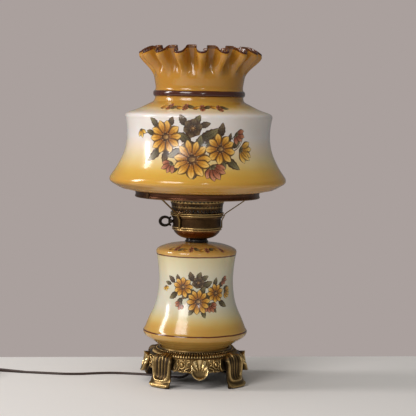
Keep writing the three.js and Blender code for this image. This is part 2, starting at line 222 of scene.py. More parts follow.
def piece(name, verts, faces, body, material, replaces=(), crease=35, values=None):
    """A mesh piece that rides on a body. verts are in millimetres. values are named numbers, one
    a vertex, that the material can read."""
    verts = np.asarray(verts, float)
    faces = flip_if_inside_out(verts, faces)
    mesh = bpy.data.meshes.new(name)
    mesh.from_pydata((verts * MM).tolist(), [], faces)
    mesh.shade_smooth()
    mesh.set_sharp_from_angle(angle=math.radians(crease))
    for key, numbers in (values or {}).items():
        layer = mesh.attributes.new(key, "FLOAT", "POINT")
        layer.data.foreach_set("value", np.asarray(numbers, np.float32))
    mesh.materials.append(material)
    obj = bpy.data.objects.new(name, mesh)
    bpy.context.scene.collection.objects.link(obj)
    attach(obj, body)
    if replaces:
        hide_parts(*replaces)
    return obj


def ring_faces(rows, columns, closed):
    """Quads between rows of a grid whose columns go all the way round."""
    faces = []
    for i in range(rows if closed else rows - 1):
        k = (i + 1) % rows
        for j in range(columns):
            n = (j + 1) % columns
            faces.append((i * columns + j, i * columns + n, k * columns + n, k * columns + j))
    return faces


def turned_mesh(line, segments, warp=None):
    """Vertices and faces of a solid of revolution about Z. The outline closes on itself, or starts
    and ends on the axis. warp(r, z, angle) moves the rings' points."""
    on_axis = line[0][0] < 1e-6
    inner = line[1:-1] if on_axis else line
    if not on_axis and np.linalg.norm(np.array(line[0]) - line[-1]) < 1e-6:
        inner = line[:-1]
    angle = 2 * math.pi * np.arange(segments) / segments
    verts = []
    for r, z in inner:
        radius = np.full(segments, float(r))
        height = np.full(segments, float(z))
        if warp:
            radius, height = warp(radius, height, angle)
        verts.append(np.stack([radius * np.cos(angle), radius * np.sin(angle), height], 1))
    verts = np.concatenate(verts)
    faces = ring_faces(len(inner), segments, not on_axis)
    if on_axis:
        first, last = len(verts), len(verts) + 1
        verts = np.concatenate([verts, [[0, 0, line[0][1]], [0, 0, line[-1][1]]]])
        end = (len(inner) - 1) * segments
        for j in range(segments):
            n = (j + 1) % segments
            faces.append((first, n, j))
            faces.append((last, end + j, end + n))
    return verts, faces


def ring_wear(verts, *rings):
    """How bright each vertex is worn by rings round the axis: (height, half width, amount)."""
    bright = np.zeros(len(verts))
    for z, half, amount in rings:
        bright += amount * np.exp(-((verts[:, 2] - z) / half) ** 2)
    return bright


def turned(name, line, segments, body, material, replaces=(), worn=()):
    """A solid of revolution as a piece. worn lists (height, half width, amount) of bright rings."""
    verts, faces = turned_mesh(line, segments)
    return piece(name, verts, faces, body, material, replaces,
                 values={"worn": ring_wear(verts, *worn)})


def joined(parts):
    """One list of vertices and faces from several."""
    verts, faces, count = [], [], 0
    for some, theirs in parts:
        some = np.asarray(some, float)
        theirs = flip_if_inside_out(some, theirs)
        verts.append(some)
        faces += [tuple(i + count for i in face) for face in theirs]
        count += len(some)
    return np.concatenate(verts), faces


def swept_mesh(path, section, ups, closed=False):
    """A section swept along a path. section is a list of (across, up) points, and ups gives the up
    direction at each point of the path. Both ends are capped unless the path is closed."""
    path = np.asarray(path, float)
    count = len(path)
    if closed:
        along = np.roll(path, -1, 0) - np.roll(path, 1, 0)
    else:
        along = np.gradient(path, axis=0)
    along /= np.linalg.norm(along, axis=1)[:, None]
    ups = np.asarray(ups, float)
    ups = ups - (ups * along).sum(1)[:, None] * along
    ups /= np.linalg.norm(ups, axis=1)[:, None]
    across = np.cross(along, ups)
    section = np.asarray(section, float)
    if section.ndim == 2:
        section = np.repeat(section[None], count, 0)
    verts = (
        path[:, None]
        + across[:, None] * section[:, :, 0:1]
        + ups[:, None] * section[:, :, 1:2]
    )
    sides = section.shape[1]
    faces = ring_faces(count, sides, closed)
    verts = verts.reshape(-1, 3)
    if not closed:
        faces.append(tuple(range(sides)))
        faces.append(tuple(reversed(range((count - 1) * sides, count * sides))))
    return verts, faces


def oval(width, height, sides, power=2.0):
    """A closed section: an ellipse at power 2, and squarer at a higher power."""
    points = []
    for i in range(sides):
        a = 2 * math.pi * (i + 0.5) / sides
        c, s = math.cos(a), math.sin(a)
        points.append((
            width / 2 * math.copysign(abs(c) ** (2 / power), c),
            height / 2 * math.copysign(abs(s) ** (2 / power), s),
        ))
    return points


make_camera()


# ---------------------------------------------------------------- the mains cord

CORD_WIDTH, CORD_THICK = 5.3, 3.0
COIL_CENTRE = np.array([-328.0, 46.0])
COIL_START = 71.6
COIL_COLUMNS = (34.65, 31.55, 28.45, 25.35)
COIL_LOW, COIL_HIGH = 3.7, 9.0
COIL_LAST = 0.33
COIL_STEPS = 60

# From the pipe's lower end, under the apron at the back left, and along the table to the coil.
ROUTE = [
    (0.0, 0.0, 0.0325), (0.0, 0.0, 0.0275), (-0.0017, 0.0009, 0.018), (-0.0064, 0.0034, 0.010),
    (-0.0135, 0.0072, 0.0049), (-0.022, 0.0117, 0.0029), (-0.040, 0.0215, 0.00275),
    (-0.061, 0.032, 0.00275), (-0.082, 0.0395, 0.00275), (-0.102, 0.045, 0.00275),
    (-0.121, 0.0475, 0.00275), (-0.141, 0.0455, 0.00275), (-0.164, 0.041, 0.00275),
    (-0.187, 0.0415, 0.00275), (-0.210, 0.047, 0.00275), (-0.234, 0.0535, 0.00275),
    (-0.257, 0.0595, 0.00275), (-0.281, 0.0672, 0.00275), (-0.3002, 0.0734, 0.0032),
]
TAIL = [
    (-0.3583, 0.0199, 0.0076), (-0.3565, 0.0101, 0.0065), (-0.3548, 0.0008, 0.0058),
    (-0.3533, -0.0073, 0.0056),
]


def coil_points():
    """The coil's turns: four columns wound inwards on the table, then outwards on top of them."""
    columns = COIL_COLUMNS + tuple(reversed(COIL_COLUMNS))
    heights = [COIL_LOW] * len(COIL_COLUMNS) + [COIL_HIGH] * len(COIL_COLUMNS)
    full = len(columns) - 1
    turns = full + COIL_LAST
    points = []
    for turn in np.linspace(0, turns, int(turns * COIL_STEPS) + 1):
        k = min(int(turn), full)
        after = min(k + 1, full)
        share = float(smoothstep(0.83, 1.0, turn - k)) if k < full else 0.0
        r = columns[k] + share * (columns[after] - columns[k])
        z = heights[k] + share * (heights[after] - heights[k])
        angle = math.radians(COIL_START + 360 * turn)
        x, y = COIL_CENTRE + r * np.array([math.cos(angle), math.sin(angle)])
        points.append(np.array([x, y, z]))
    return points


def cord_line():
    """The cord's centre line in millimetres, and how far it is turned from flat to on edge."""
    route = [np.array(p) / MM for p in ROUTE]
    coil = coil_points()
    lead = spline(route + [coil[0]], 6)[:-1]
    tail = spline([coil[-1]] + [np.array(p) / MM for p in TAIL], 8)[1:]
    edge = [float(smoothstep(-225, -300, p[0])) for p in lead]
    down = [float(smoothstep(20, -8, p[1])) for p in tail]
    turn = edge + [1.0] * len(coil) + [1 - t for t in down]
    line = lead + coil + tail
    for p, on_edge in zip(line[:len(lead)], edge):
        lying = float(smoothstep(9, 3.5, p[2]))
        p[2] -= lying * (1 - on_edge) * (CORD_WIDTH - CORD_THICK) / 2
    return np.array(line), np.array(turn)


def make_cord(material):
    line, turn = cord_line()
    along = np.gradient(line, axis=0)
    along /= np.linalg.norm(along, axis=1)[:, None]
    first = np.array([ROUTE[7][0], ROUTE[7][1], 0.0])
    first /= np.linalg.norm(first)
    steep = np.clip(-along[:, 2], 0, 1)[:, None]
    flat = np.array([0, 0, 1.0]) * (1 - steep) + first * steep
    sideways = np.cross(along, [0, 0, 1.0])
    ups = flat * np.cos(turn * math.pi / 2)[:, None] + sideways * np.sin(turn * math.pi / 2)[:, None]
    lobe, offset = CORD_THICK / 2, (CORD_WIDTH - CORD_THICK) / 2
    section = []
    for side in (1, -1):
        for angle in np.radians(np.linspace(-138, 138, 9)):
            section.append((side * (offset + lobe * math.cos(angle)), side * lobe * math.sin(angle)))
    verts, faces = swept_mesh(line, section, ups)
    cord = piece("cord", verts, faces, "lamp", material,
                 ("cord_tube", "cord_coil", "cord_tail"), crease=60)
    length = float(np.linalg.norm(np.diff(line, axis=0), axis=1).sum()) * MM
    return cord, line * MM, length


# ---------------------------------------------------------------- the shade and the font

LOBES = 16
LOBE_ANGLE = math.radians(-94)
RUFFLE_Z, RIM_Z = 437.0, 478.5

SHADE_OUTER = [
    [(83.7, 272.5), (86.6, 272.5), (87.5, 273.0), (88.0, 274.0)],
    [(88.0, 274.0), (88.0, 276.4), (89.2, 277.3), (92.0, 277.4), (99.4, 277.9)],
    [(99.4, 277.9), (100.4, 278.6), (104.5, 279.2), (109.8, 280.0)],
    [(109.8, 280.0), (110.8, 280.9), (114.0, 282.0), (118.4, 284.6), (122.4, 286.9), (124.9, 288.6),
     (126.8, 291.2), (126.9, 293.9), (126.2, 296.6), (124.0, 300.0), (120.4, 305.2), (116.6, 311.0),
     (113.4, 317.0), (110.4, 323.0), (107.6, 329.5), (105.0, 338.0), (103.2, 349.0), (102.8, 360.0),
     (103.7, 371.0), (105.2, 379.6), (105.9, 383.4), (105.0, 386.3), (102.4, 388.3), (98.6, 389.9),
     (90.4, 392.6), (84.5, 395.0), (78.0, 398.2), (72.6, 401.0), (67.4, 403.6), (64.8, 405.6),
     (63.8, 408.2)],
    [(63.8, 408.2), (63.4, 410.4), (64.0, 411.8)],
    [(64.0, 411.8), (65.3, 412.9), (65.9, 414.9), (65.9, 417.0), (65.3, 419.0), (63.8, 420.2)],
    [(63.8, 420.2), (62.9, 422.0), (62.8, 426.0), (63.6, 431.0), (64.6, 437.0), (66.0, 446.0),
     (69.0, 455.0), (73.5, 464.0), (77.3, 472.0), (79.0, 477.4)],
]
SHADE_RIM = [(79.0, 477.4), (79.1, 478.6), (78.3, 479.6), (77.0, 479.7), (75.9, 478.9), (75.6, 477.6)]
SHADE_INNER = [
    [(75.6, 477.6), (74.0, 472.4), (70.4, 465.0), (66.0, 456.6), (62.9, 447.0), (61.6, 438.0),
     (60.8, 430.0), (60.6, 420.0), (60.8, 410.0), (61.6, 405.0), (64.6, 401.6), (70.8, 398.2),
     (77.6, 394.8), (85.4, 391.4), (95.0, 387.9), (100.4, 385.6), (102.3, 383.0), (101.8, 378.0),
     (100.2, 369.0), (99.5, 360.0), (99.9, 349.0), (101.6, 337.4), (104.2, 328.6), (107.2, 321.4),
     (110.4, 315.2), (114.0, 308.6), (118.0, 302.4), (121.4, 297.6), (123.0, 294.4), (122.4, 291.6),
     (119.6, 289.4), (114.0, 286.4), (108.0, 283.6), (99.0, 281.4), (90.0, 280.6), (86.0, 279.6),
     (84.4, 277.0), (83.7, 272.5)],
]

FONT_OUTER = [
    [(46.0, 47.5), (47.4, 47.8), (48.3, 49.3), (49.4, 51.9)],
    [(49.4, 51.9), (51.2, 53.0), (53.4, 54.7), (55.5, 56.3)],
    [(55.5, 56.3), (56.8, 56.9), (59.2, 58.8), (62.0, 60.7)],
    [(62.0, 60.7), (63.4, 61.3), (66.6, 63.2), (69.4, 65.1)],
    [(69.4, 65.1), (70.8, 65.8), (72.6, 67.4), (73.9, 69.2), (74.8, 71.4)],
    [(74.8, 71.4), (75.3, 72.6), (75.1, 74.6), (73.0, 78.0), (69.6, 86.6), (66.0, 95.0),
     (60.9, 106.0), (57.3, 117.0), (54.9, 130.0), (53.7, 144.0), (53.9, 156.0), (54.8, 168.0),
     (56.1, 178.0), (56.9, 182.6), (57.7, 186.2), (58.1, 189.2), (57.2, 191.9), (54.0, 194.4),
     (48.0, 196.9), (39.6, 199.3), (30.0, 200.8), (22.0, 201.6), (16.0, 202.1)],
]
FONT_TOP = [(16.0, 202.1), (14.8, 202.0), (14.1, 201.2), (14.0, 200.0), (14.2, 198.8)]
FONT_INNER = [
    [(14.2, 198.8), (22.0, 198.2), (30.0, 197.3), (39.0, 195.8), (47.0, 193.5), (52.2, 191.2),
     (54.3, 188.8), (53.9, 185.0), (52.4, 178.0), (51.1, 168.0), (50.2, 156.0), (50.0, 144.0),
     (51.2, 130.6), (53.6, 118.0), (57.2, 107.4), (62.4, 96.4), (66.2, 87.4), (69.8, 78.4),
     (71.2, 74.4), (70.8, 71.8), (68.8, 69.6), (61.0, 64.4), (53.0, 59.0), (47.0, 55.0),
     (44.0, 50.6), (43.6, 48.4), (46.0, 47.5)],
]


def ruffled(radius, height, angle):
    """Crimps the shade's neck: sixteen lobes lean out and down, and the glass between them stands
    in and up, in folds that are nearly horseshoes at the rim."""
    u = np.clip((height - RUFFLE_Z) / (RIM_Z - RUFFLE_Z), 0, 1.06)
    phase = LOBES * (angle - LOBE_ANGLE)
    fold = phase + 0.55 * smoothstep(0.25, 1, u) * np.sin(2 * phase)
    wave = np.cos(phase + 0.3 * np.sin(phase))
    out = 11 * smoothstep(0, 0.8, u) - 2 * smoothstep(0.8, 1, u)
    dip = 2 * ((1 + wave) / 2) ** 1.5 - 0.85
    uneven = 1 + 0.09 * np.sin(3 * angle + 0.7) + 0.06 * np.sin(7 * angle + 2.1)
    radius = radius + out * wave * uneven
    height = height - 4.3 * u * u * dip * uneven
    return radius, height, angle + (fold - phase) / LOBES


def glass_mesh(outer, end, inner, segments, warp=None):
    """The glass's vertices and faces, with how far each is round the painted end and whether it is
    on the inner side."""
    out_line, end_line = outline(*outer, steps=5), outline(end, steps=3)
    in_line = outline(*inner, steps=4)
    line = out_line + end_line[1:] + in_line[1:-1]
    walk = np.cumsum([0.0] + [float(np.linalg.norm(b - a)) for a, b in zip(line, line[1:])])
    start, stop = walk[len(out_line) - 1], walk[len(out_line) + len(end_line) - 2]
    angle = 2 * math.pi * np.arange(segments) / segments
    verts, edge, inside = [], [], []
    for (r, z), at in zip(line, walk):
        radius, height, turn = np.full(segments, float(r)), np.full(segments, float(z)), angle
        if warp:
            radius, height, turn = warp(radius, height, angle)
        verts.append(np.stack([radius * np.cos(turn), radius * np.sin(turn), height], 1))
        edge += [max(start - at, at - stop, 0.0)] * segments
        inside += [float(at > stop)] * segments
    faces = ring_faces(len(line), segments, True)
    return np.concatenate(verts), faces, {"edge": edge, "inside": inside}


OPAL_WHITE = linear(228, 226, 214)


def opal_paint(tree, stops, warm, scale=1.0):
    """Painted opal glass's sprayed colour zones by height, with warmer clouds in the spray; the white inside
    and the fired coat are added by the callers.
    """
    z = tree.height()
    drift = tree.math("MULTIPLY_ADD", tree.noise(26 * scale, 2.0), 5.0, -2.5)
    grain = tree.math("MULTIPLY_ADD", tree.noise(900 * scale, 2.0), 1.4, -0.7)
    zone = tree.math("ADD", tree.math("ADD", z, drift), grain)
    paint = tree.ramp(zone, stops)
    spray = tree.remap(tree.noise(14 * scale, 3.0), 0.3, 0.75)
    paint = tree.mix(tree.math("MULTIPLY", spray, 0.35), paint, tree.mix(1.0, paint, warm, "MULTIPLY"))
    return paint, z


def shade_material():
    tree = Tree("shade_opal_paint")
    amber, deep, gold = linear(209, 164, 66), linear(190, 142, 72), linear(204, 162, 72)
    white, cream, pale = linear(229, 225, 221), linear(230, 213, 188), linear(222, 201, 151)
    stops = [
        (272.0, deep), (286.0, linear(200, 150, 60)), (303.0, amber), (310.0, linear(213, 174, 84)),
        (318.0, linear(219, 190, 121)), (327.0, pale), (340.0, cream), (356.0, white),
        (386.5, white), (390.0, cream), (394.0, pale), (398.0, gold), (406.0, linear(190, 142, 56)),
        (440.0, linear(184, 134, 50)), (480.0, linear(190, 136, 50)),
    ]
    paint, z = opal_paint(tree, stops, linear(236, 214, 190))
    brown = linear(72, 32, 20)
    wobble = tree.math("MULTIPLY_ADD", tree.noise(70, 2.0), 1.0, -0.5)
    at = tree.math("ADD", z, wobble)
    low = tree.remap(at, 411.4, 412.1)
    high = tree.remap(at, 420.4, 419.7)
    bead = tree.math("MULTIPLY", low, high)
    edge = tree.math("ADD", tree.attribute("edge"), wobble)
    inner_side = tree.attribute("inside")
    reach = tree.math("MULTIPLY_ADD", inner_side, 2.6, 1.9)
    rim = tree.remap(tree.math("SUBTRACT", reach, edge), 0.0, 0.5)
    paint = tree.mix(tree.math("MAXIMUM", bead, rim), paint, brown)
    # Painted shade: the pinched-in folds between the lobes up the neck are darkened towards brown, standing
    # for the shade that falls in the crimps.
    hollows = tree.remap(tree.attribute("hollow"), 0.0, 1.0)
    paint = tree.mix(tree.math("MULTIPLY", hollows, 0.6), paint, linear(128, 82, 28))
    inside = tree.remap(tree.math("SUBTRACT", inner_side, rim), 0.4, 0.6)
    paint = tree.mix(inside, paint, OPAL_WHITE)
    return opal_finish(tree, paint)


def opal_finish(tree, paint):
    """The gloss of opal glass: blown waves, a few seeds and specks, and a thin fired coat."""
    waves = tree.noise(22, 1.0)
    ripple = tree.noise(85, 2.0)
    specks = tree.remap(tree.noise(1600, 1.0), 0.74, 0.8)
    normal = tree.bump(waves, 0.0011, 0.35)
    normal = tree.bump(ripple, 0.00012, 0.5, normal)
    normal = tree.bump(specks, 0.00004, 0.6, normal)
    rough = tree.remap(tree.noise(120, 4.0), 0.3, 0.8, 0.13, 0.24)
    tree.set(Base_Color=paint, Roughness=rough, Normal=normal, Coat_Weight=0.35,
             Subsurface_Weight=0.12, Subsurface_Scale=0.004)
    tree.bsdf.inputs["Coat Roughness"].default_value = 0.06
    tree.bsdf.inputs["IOR"].default_value = 1.5
    return tree.material


def font_material():
    tree = Tree("font_opal_paint")
    amber, deep, gold = linear(200, 158, 76), linear(194, 152, 80), linear(204, 162, 84)
    white, cream, pale = linear(214, 212, 192), linear(212, 202, 160), linear(212, 190, 126)
    stops = [
        (47.0, deep), (70.0, linear(192, 150, 72)), (84.0, amber), (89.0, linear(206, 170, 92)),
        (95.0, pale), (102.0, cream), (114.0, white), (150.0, white), (166.0, linear(218, 212, 182)),
        (184.0, cream), (185.5, linear(212, 190, 126)), (187.0, gold), (203.0, linear(176, 128, 60)),
    ]
    paint, z = opal_paint(tree, stops, linear(238, 218, 196), 1.3)
    brown = linear(92, 44, 26)
    wobble = tree.math("MULTIPLY_ADD", tree.noise(60, 2.0), 0.9, -0.45)
    at = tree.math("ADD", z, wobble)
    for line, half in ((185.6, 0.75), (75.0, 0.8)):
        gap = tree.math("ABSOLUTE", tree.math("SUBTRACT", at, line))
        paint = tree.mix(tree.remap(gap, half + 0.35, half - 0.1), paint, brown)
    inside = tree.remap(tree.attribute("inside"), 0.4, 0.6)
    paint = tree.mix(inside, paint, OPAL_WHITE)
    return opal_finish(tree, paint)


def make_glass():
    verts, faces, values = glass_mesh(SHADE_OUTER, SHADE_RIM, SHADE_INNER, 320, ruffled)
    # How much painted shade each vertex takes: none below the neck, most in the pinched-in folds between the
    # lobes.
    angle, up = np.arctan2(verts[:, 1], verts[:, 0]), smoothstep(436, 462, verts[:, 2])
    values["hollow"] = up * (0.5 - 0.5 * np.cos(LOBES * (angle - LOBE_ANGLE))) ** 1.5
    piece("shade_painted_glass", verts, faces, "shade", shade_material(),
          ("shade_glass",), 50, values)
    verts, faces, values = glass_mesh(FONT_OUTER, FONT_TOP, FONT_INNER, 256)
    piece("font_painted_glass", verts, faces, "lamp", font_material(),
          ("font_glass",), 40, values)


# ---------------------------------------------------------------- metal finishes


def cast_brass():
    """Antiqued cast brass: dark in the hollows, rubbed bright on the ridges, with a pitted skin."""
    tree = Tree("antique_cast_brass")
    worn = tree.attribute("worn")
    cloud = tree.noise(45, 4.0)
    grain = tree.noise(900, 3.0, 0.6)
    rub = tree.math("ADD", worn, tree.math("MULTIPLY_ADD", cloud, 0.55, -0.28))
    rub = tree.math("ADD", rub, tree.math("MULTIPLY_ADD", grain, 0.3, -0.15))
    colour = tree.ramp(rub, [
        (0.0, linear(26, 20, 13)), (0.3, linear(72, 57, 38)), (0.55, linear(132, 109, 70)),
        (0.8, linear(196, 167, 112)), (1.0, linear(240, 216, 162)),
    ])
    rough = tree.remap(rub, 0.1, 1.0, 0.46, 0.22)
    normal = tree.bump(tree.noise(260, 3.0), 0.00035, 0.5)
    normal = tree.bump(grain, 0.00008, 0.7, normal)
    tree.set(Base_Color=colour, Metallic=tree.remap(rub, 0.0, 0.4, 0.7, 1.0), Roughness=rough,
             Normal=normal)
    return tree.material


def sheet_metal(name, bright, dull, rough, spots=0.5):
    """Spun or rolled sheet metal with tarnish clouds and fine rings from the lathe."""
    tree = Tree(name)
    cloud = tree.remap(tree.noise(60, 5.0, 0.6), 0.32, 0.72)
    rings = tree.noise(1.0, 2.0, vector=tree.stretched(60, 60, 2600))
    worn = tree.attribute("worn")
    tarnish = tree.math("SUBTRACT", tree.math("MULTIPLY", cloud, spots), worn, clamp=True)
    tone = tree.mix(tree.math("MULTIPLY", rings, 0.25), bright, dull)
    colour = tree.mix(tarnish, tone, dull)
    colour = tree.mix(worn, colour, linear(220, 186, 124))
    normal = tree.bump(rings, 0.00003, 0.6)
    normal = tree.bump(tree.noise(400, 3.0), 0.00005, 0.35, normal)
    roughness = tree.remap(cloud, 0, 1, rough[0], rough[1])
    tree.set(Base_Color=colour, Metallic=1.0, Roughness=roughness, Normal=normal)
    return tree.material


def plastic(name, colour, rough=0.45, grain=1100.0, depth=0.00003):
    """Moulded plastic with a fine grain and faint flow marks."""
    tree = Tree(name)
    flow = tree.noise(70, 3.0)
    shade = tuple(c * 0.6 for c in colour[:3]) + (1.0,)
    tone = tree.mix(tree.remap(flow, 0.35, 0.75), colour, shade)
    normal = tree.bump(tree.noise(grain, 2.0), depth, 0.8)
    tree.set(Base_Color=tone, Roughness=tree.remap(flow, 0.3, 0.8, rough - 0.08, rough + 0.1),
             Normal=normal)
    return tree.material


# ---------------------------------------------------------------- the cast foot

SHELL_OUTER = [
    [(50.2, 47.6), (50.2, 50.2), (50.8, 51.0), (51.8, 50.9), (52.2, 50.0)],
    [(52.2, 50.0), (52.4, 49.0), (53.0, 48.6), (53.8, 48.6)],
    [(53.8, 48.6), (54.8, 48.0), (55.8, 47.1), (56.6, 46.6)],
    [(56.6, 46.6), (57.6, 46.7), (58.8, 46.2), (60.4, 44.8), (61.4, 43.4), (61.7, 42.8)],
    [(61.7, 42.8), (63.2, 42.7), (65.0, 42.2), (66.1, 41.3), (66.0, 40.6)],
    [(66.0, 40.6), (65.8, 39.8), (65.7, 36.0), (66.4, 31.0), (67.4, 27.4), (68.8, 25.2),
     (69.2, 24.2), (68.4, 23.4), (67.2, 23.8)],
]
SHELL_INNER = [
    [(67.2, 23.8), (65.4, 26.4), (63.9, 31.0), (63.2, 36.0), (62.4, 40.0), (59.0, 43.6),
     (52.0, 44.6), (40.0, 44.9), (20.0, 45.0), (8.0, 45.0), (5.1, 45.0)],
    [(5.1, 45.0), (5.1, 41.9)],
]
SHELL_UNDERSIDE = [(12.0, 41.8), (30.0, 41.9), (46.0, 42.6), (49.4, 43.6), (49.8, 46.0), (50.0, 47.0)]
RIB_COUNT = 96


def foot_shell():
    """The round body of the foot, with reeds on its shoulder and a waved lower edge."""
    line = outline(*SHELL_OUTER, steps=5)
    line += outline(*SHELL_INNER, steps=4)[1:]
    line += [np.array(p, float) for p in SHELL_UNDERSIDE]

    def warp(radius, height, angle):
        base_r, base_z = radius[0], height[0]
        reed = float(smoothstep(56.8, 58.2, base_r) * smoothstep(61.9, 60.7, base_r))
        if base_z > 42.5 and reed > 0:
            wave = np.abs(np.sin(angle * RIB_COUNT / 2)) ** 0.6
            radius = radius + reed * (wave - 0.6) * 1.3
            height = height + reed * (wave - 0.6) * 1.3
        skirt = float(smoothstep(40, 26, base_z)) if base_r > 60 else 0.0
        if skirt:
            swing = np.cos(4 * angle)
            scallop = np.abs(np.sin(angle * 18))
            height = height + skirt * (1.6 * scallop - 0.8 - 1.2 * swing)
            radius = radius + skirt * 0.5 * scallop
        return radius, height

    verts, faces = turned_mesh(line, 5 * RIB_COUNT, warp)
    r = np.hypot(verts[:, 0], verts[:, 1])
    angle = np.arctan2(verts[:, 1], verts[:, 0])
    high = np.exp(-((r - 51.3) / 0.9) ** 2) + 0.6 * np.exp(-((r - 65.6) / 1.2) ** 2)
    reeds = ((r > 56.8) & (r < 61.9) & (verts[:, 2] > 42.5)) * np.abs(np.sin(angle * RIB_COUNT / 2))
    lip = np.exp(-((verts[:, 2] - 24.5) / 1.6) ** 2) * (r > 64)
    worn = np.clip(0.28 + 0.5 * high + 0.42 * reeds + 0.4 * lip, 0, 1)
    worn[(r < 64) & (verts[:, 2] < 42.4)] = 0.05
    worn[(r < 56) & (verts[:, 2] < 45.5)] = 0.05
    return verts, faces, worn


def wall_radius(z):
    """The outer radius of the foot's wall at a height."""
    return float(np.interp(z, [23, 25, 27.4, 31, 36, 40, 42.4], [69, 68.9, 67.4, 66.4, 65.7, 65.9, 66.6]))


WALL_REACH = 66.0


def on_wall(angle, across, z, out):
    """A point on the foot's wall: across it from an angle, at a height, and out from it. Distances
    across it are measured at WALL_REACH from the axis."""
    r = wall_radius(z) + out
    turn = angle + across / WALL_REACH
    return np.array([r * math.cos(turn), r * math.sin(turn), z])


def wall_bar(angle, points, radius):
    """A raised line on the wall through (across, z, out) points, thinner at its ends."""
    taper = 0.35
    path = [on_wall(angle, x, z, out) for x, z, out in spline(points, 6)]
    count = len(path)
    sections = []
    for i in range(count):
        size = radius * (taper + (1 - taper) * math.sin(math.pi * (i + 0.5) / count) ** 0.6)
        sections.append(np.array(oval(2 * size, 2 * size, 8)))
    ups = [p * [1, 1, 0] for p in path]
    return swept_mesh(path, np.array(sections), ups)


def bead(centre, radius, squash=1.0, columns=12, rows=8):
    """A small round bead, flattened along Z by squash."""
    verts, faces = [], []
    for i in range(1, rows):
        a = math.pi * i / rows
        for j in range(columns):
            b = 2 * math.pi * j / columns
            verts.append((math.sin(a) * math.cos(b), math.sin(a) * math.sin(b), math.cos(a) * squash))
    verts += [(0, 0, squash), (0, 0, -squash)]
    faces = ring_faces(rows - 1, columns, False)
    top, bottom = len(verts) - 2, len(verts) - 1
    for j in range(columns):
        n = (j + 1) % columns
        faces.append((top, n, j))
        faces.append((bottom, (rows - 2) * columns + j, (rows - 2) * columns + n))
    return np.array(verts) * radius + np.asarray(centre, float), faces


def bead_ring(radius, z, count, size):
    """Small beads in a circle round the axis."""
    turns = [2 * math.pi * (k + 0.5) / count for k in range(count)]
    return [bead((radius * math.cos(t), radius * math.sin(t), z), size, 1.0, 8, 6) for t in turns]


def grid_solid(front, back):
    """A closed solid between two grids of points of the same size."""
    front, back = np.asarray(front, float), np.asarray(back, float)
    rows, columns = front.shape[:2]
    count = rows * columns
    verts = np.concatenate([front.reshape(-1, 3), back.reshape(-1, 3)])
    faces = []
    for i in range(rows - 1):
        for j in range(columns - 1):
            a, b = i * columns + j, i * columns + j + 1
            c, d = b + columns, a + columns
            faces.append((a, b, c, d))
            faces.append((a + count, d + count, c + count, b + count))
    loop = list(range(columns))
    loop += [i * columns + columns - 1 for i in range(1, rows)]
    loop += [(rows - 1) * columns + j for j in range(columns - 2, -1, -1)]
    loop += [i * columns for i in range(rows - 2, 0, -1)]
    for a, b in zip(loop, loop[1:] + loop[:1]):
        faces.append((b, a, a + count, b + count))
    return verts, faces


def scallop(angle):
    """A scallop shell on the wall: ribs that fan up from a smooth bowl with a thick raised lip."""
    rows, columns, ribs = 48, 49, 9
    half_width, bowl_z, foot_z, crown_z = 11.6, 27.4, 14.2, 43.0
    front, back, worn = [], [], []
    for i in range(rows):
        v = i / (rows - 1)
        z_row = foot_z + (crown_z - foot_z) * v
        low = max(bowl_z - z_row, 0) / (bowl_z - foot_z)
        half = half_width * math.sqrt(max(1 - low * low, 0.004))
        half *= 1 - 0.12 * float(smoothstep(0.75, 1, v))
        line_front, line_back = [], []
        for j in range(columns):
            u = 2 * j / (columns - 1) - 1
            across = u * half
            z = z_row - 5.0 * u * u * float(smoothstep(0.5, 1, v))
            reach = math.hypot(across / half_width, min(z_row - bowl_z, 0) / (bowl_z - foot_z))
            lip = math.exp(-((reach - 0.88) / 0.11) ** 2) * float(smoothstep(0.85, 0.45, v))
            fan = math.atan2(across, z - bowl_z + 8)
            rib = abs(math.cos(ribs * fan * 1.05)) ** 0.8 * float(smoothstep(0.36, 0.5, v))
            bowl = max(1 - (reach / 0.85) ** 2, 0) * float(smoothstep(0.62, 0.4, v))
            dome = 4.2 * math.sqrt(max(1 - u * u, 0))
            out = 1.6 + dome + 2.1 * lip + 1.7 * rib - 3.4 * bowl + 2.6 * (1 - v)
            line_front.append(on_wall(angle, across, z, out))
            line_back.append(on_wall(angle, across * 0.95, z, -1.8 + 3.0 * (1 - v)))
            worn.append(0.4 + 0.5 * lip + 0.5 * rib)
        front.append(line_front)
        back.append(line_back)
    verts, faces = grid_solid(front, back)
    return verts, faces, np.concatenate([np.clip(worn, 0, 1), np.full(rows * columns, 0.05)])


LEG_LINE = [
    (61.0, 44.4), (66.6, 44.0), (71.4, 41.4), (74.4, 36.0), (75.0, 29.0), (74.8, 21.0), (75.6, 14.0),
    (77.6, 9.2), (80.4, 6.6), (82.2, 4.2), (82.6, 1.6),
]
LEG_WIDTHS = (
    [0, 0.1, 0.25, 0.45, 0.65, 0.8, 0.9, 0.96, 1.0],
    [9.6, 14.2, 17.4, 16.8, 16.4, 17.6, 17.6, 15.4, 12.0],
)


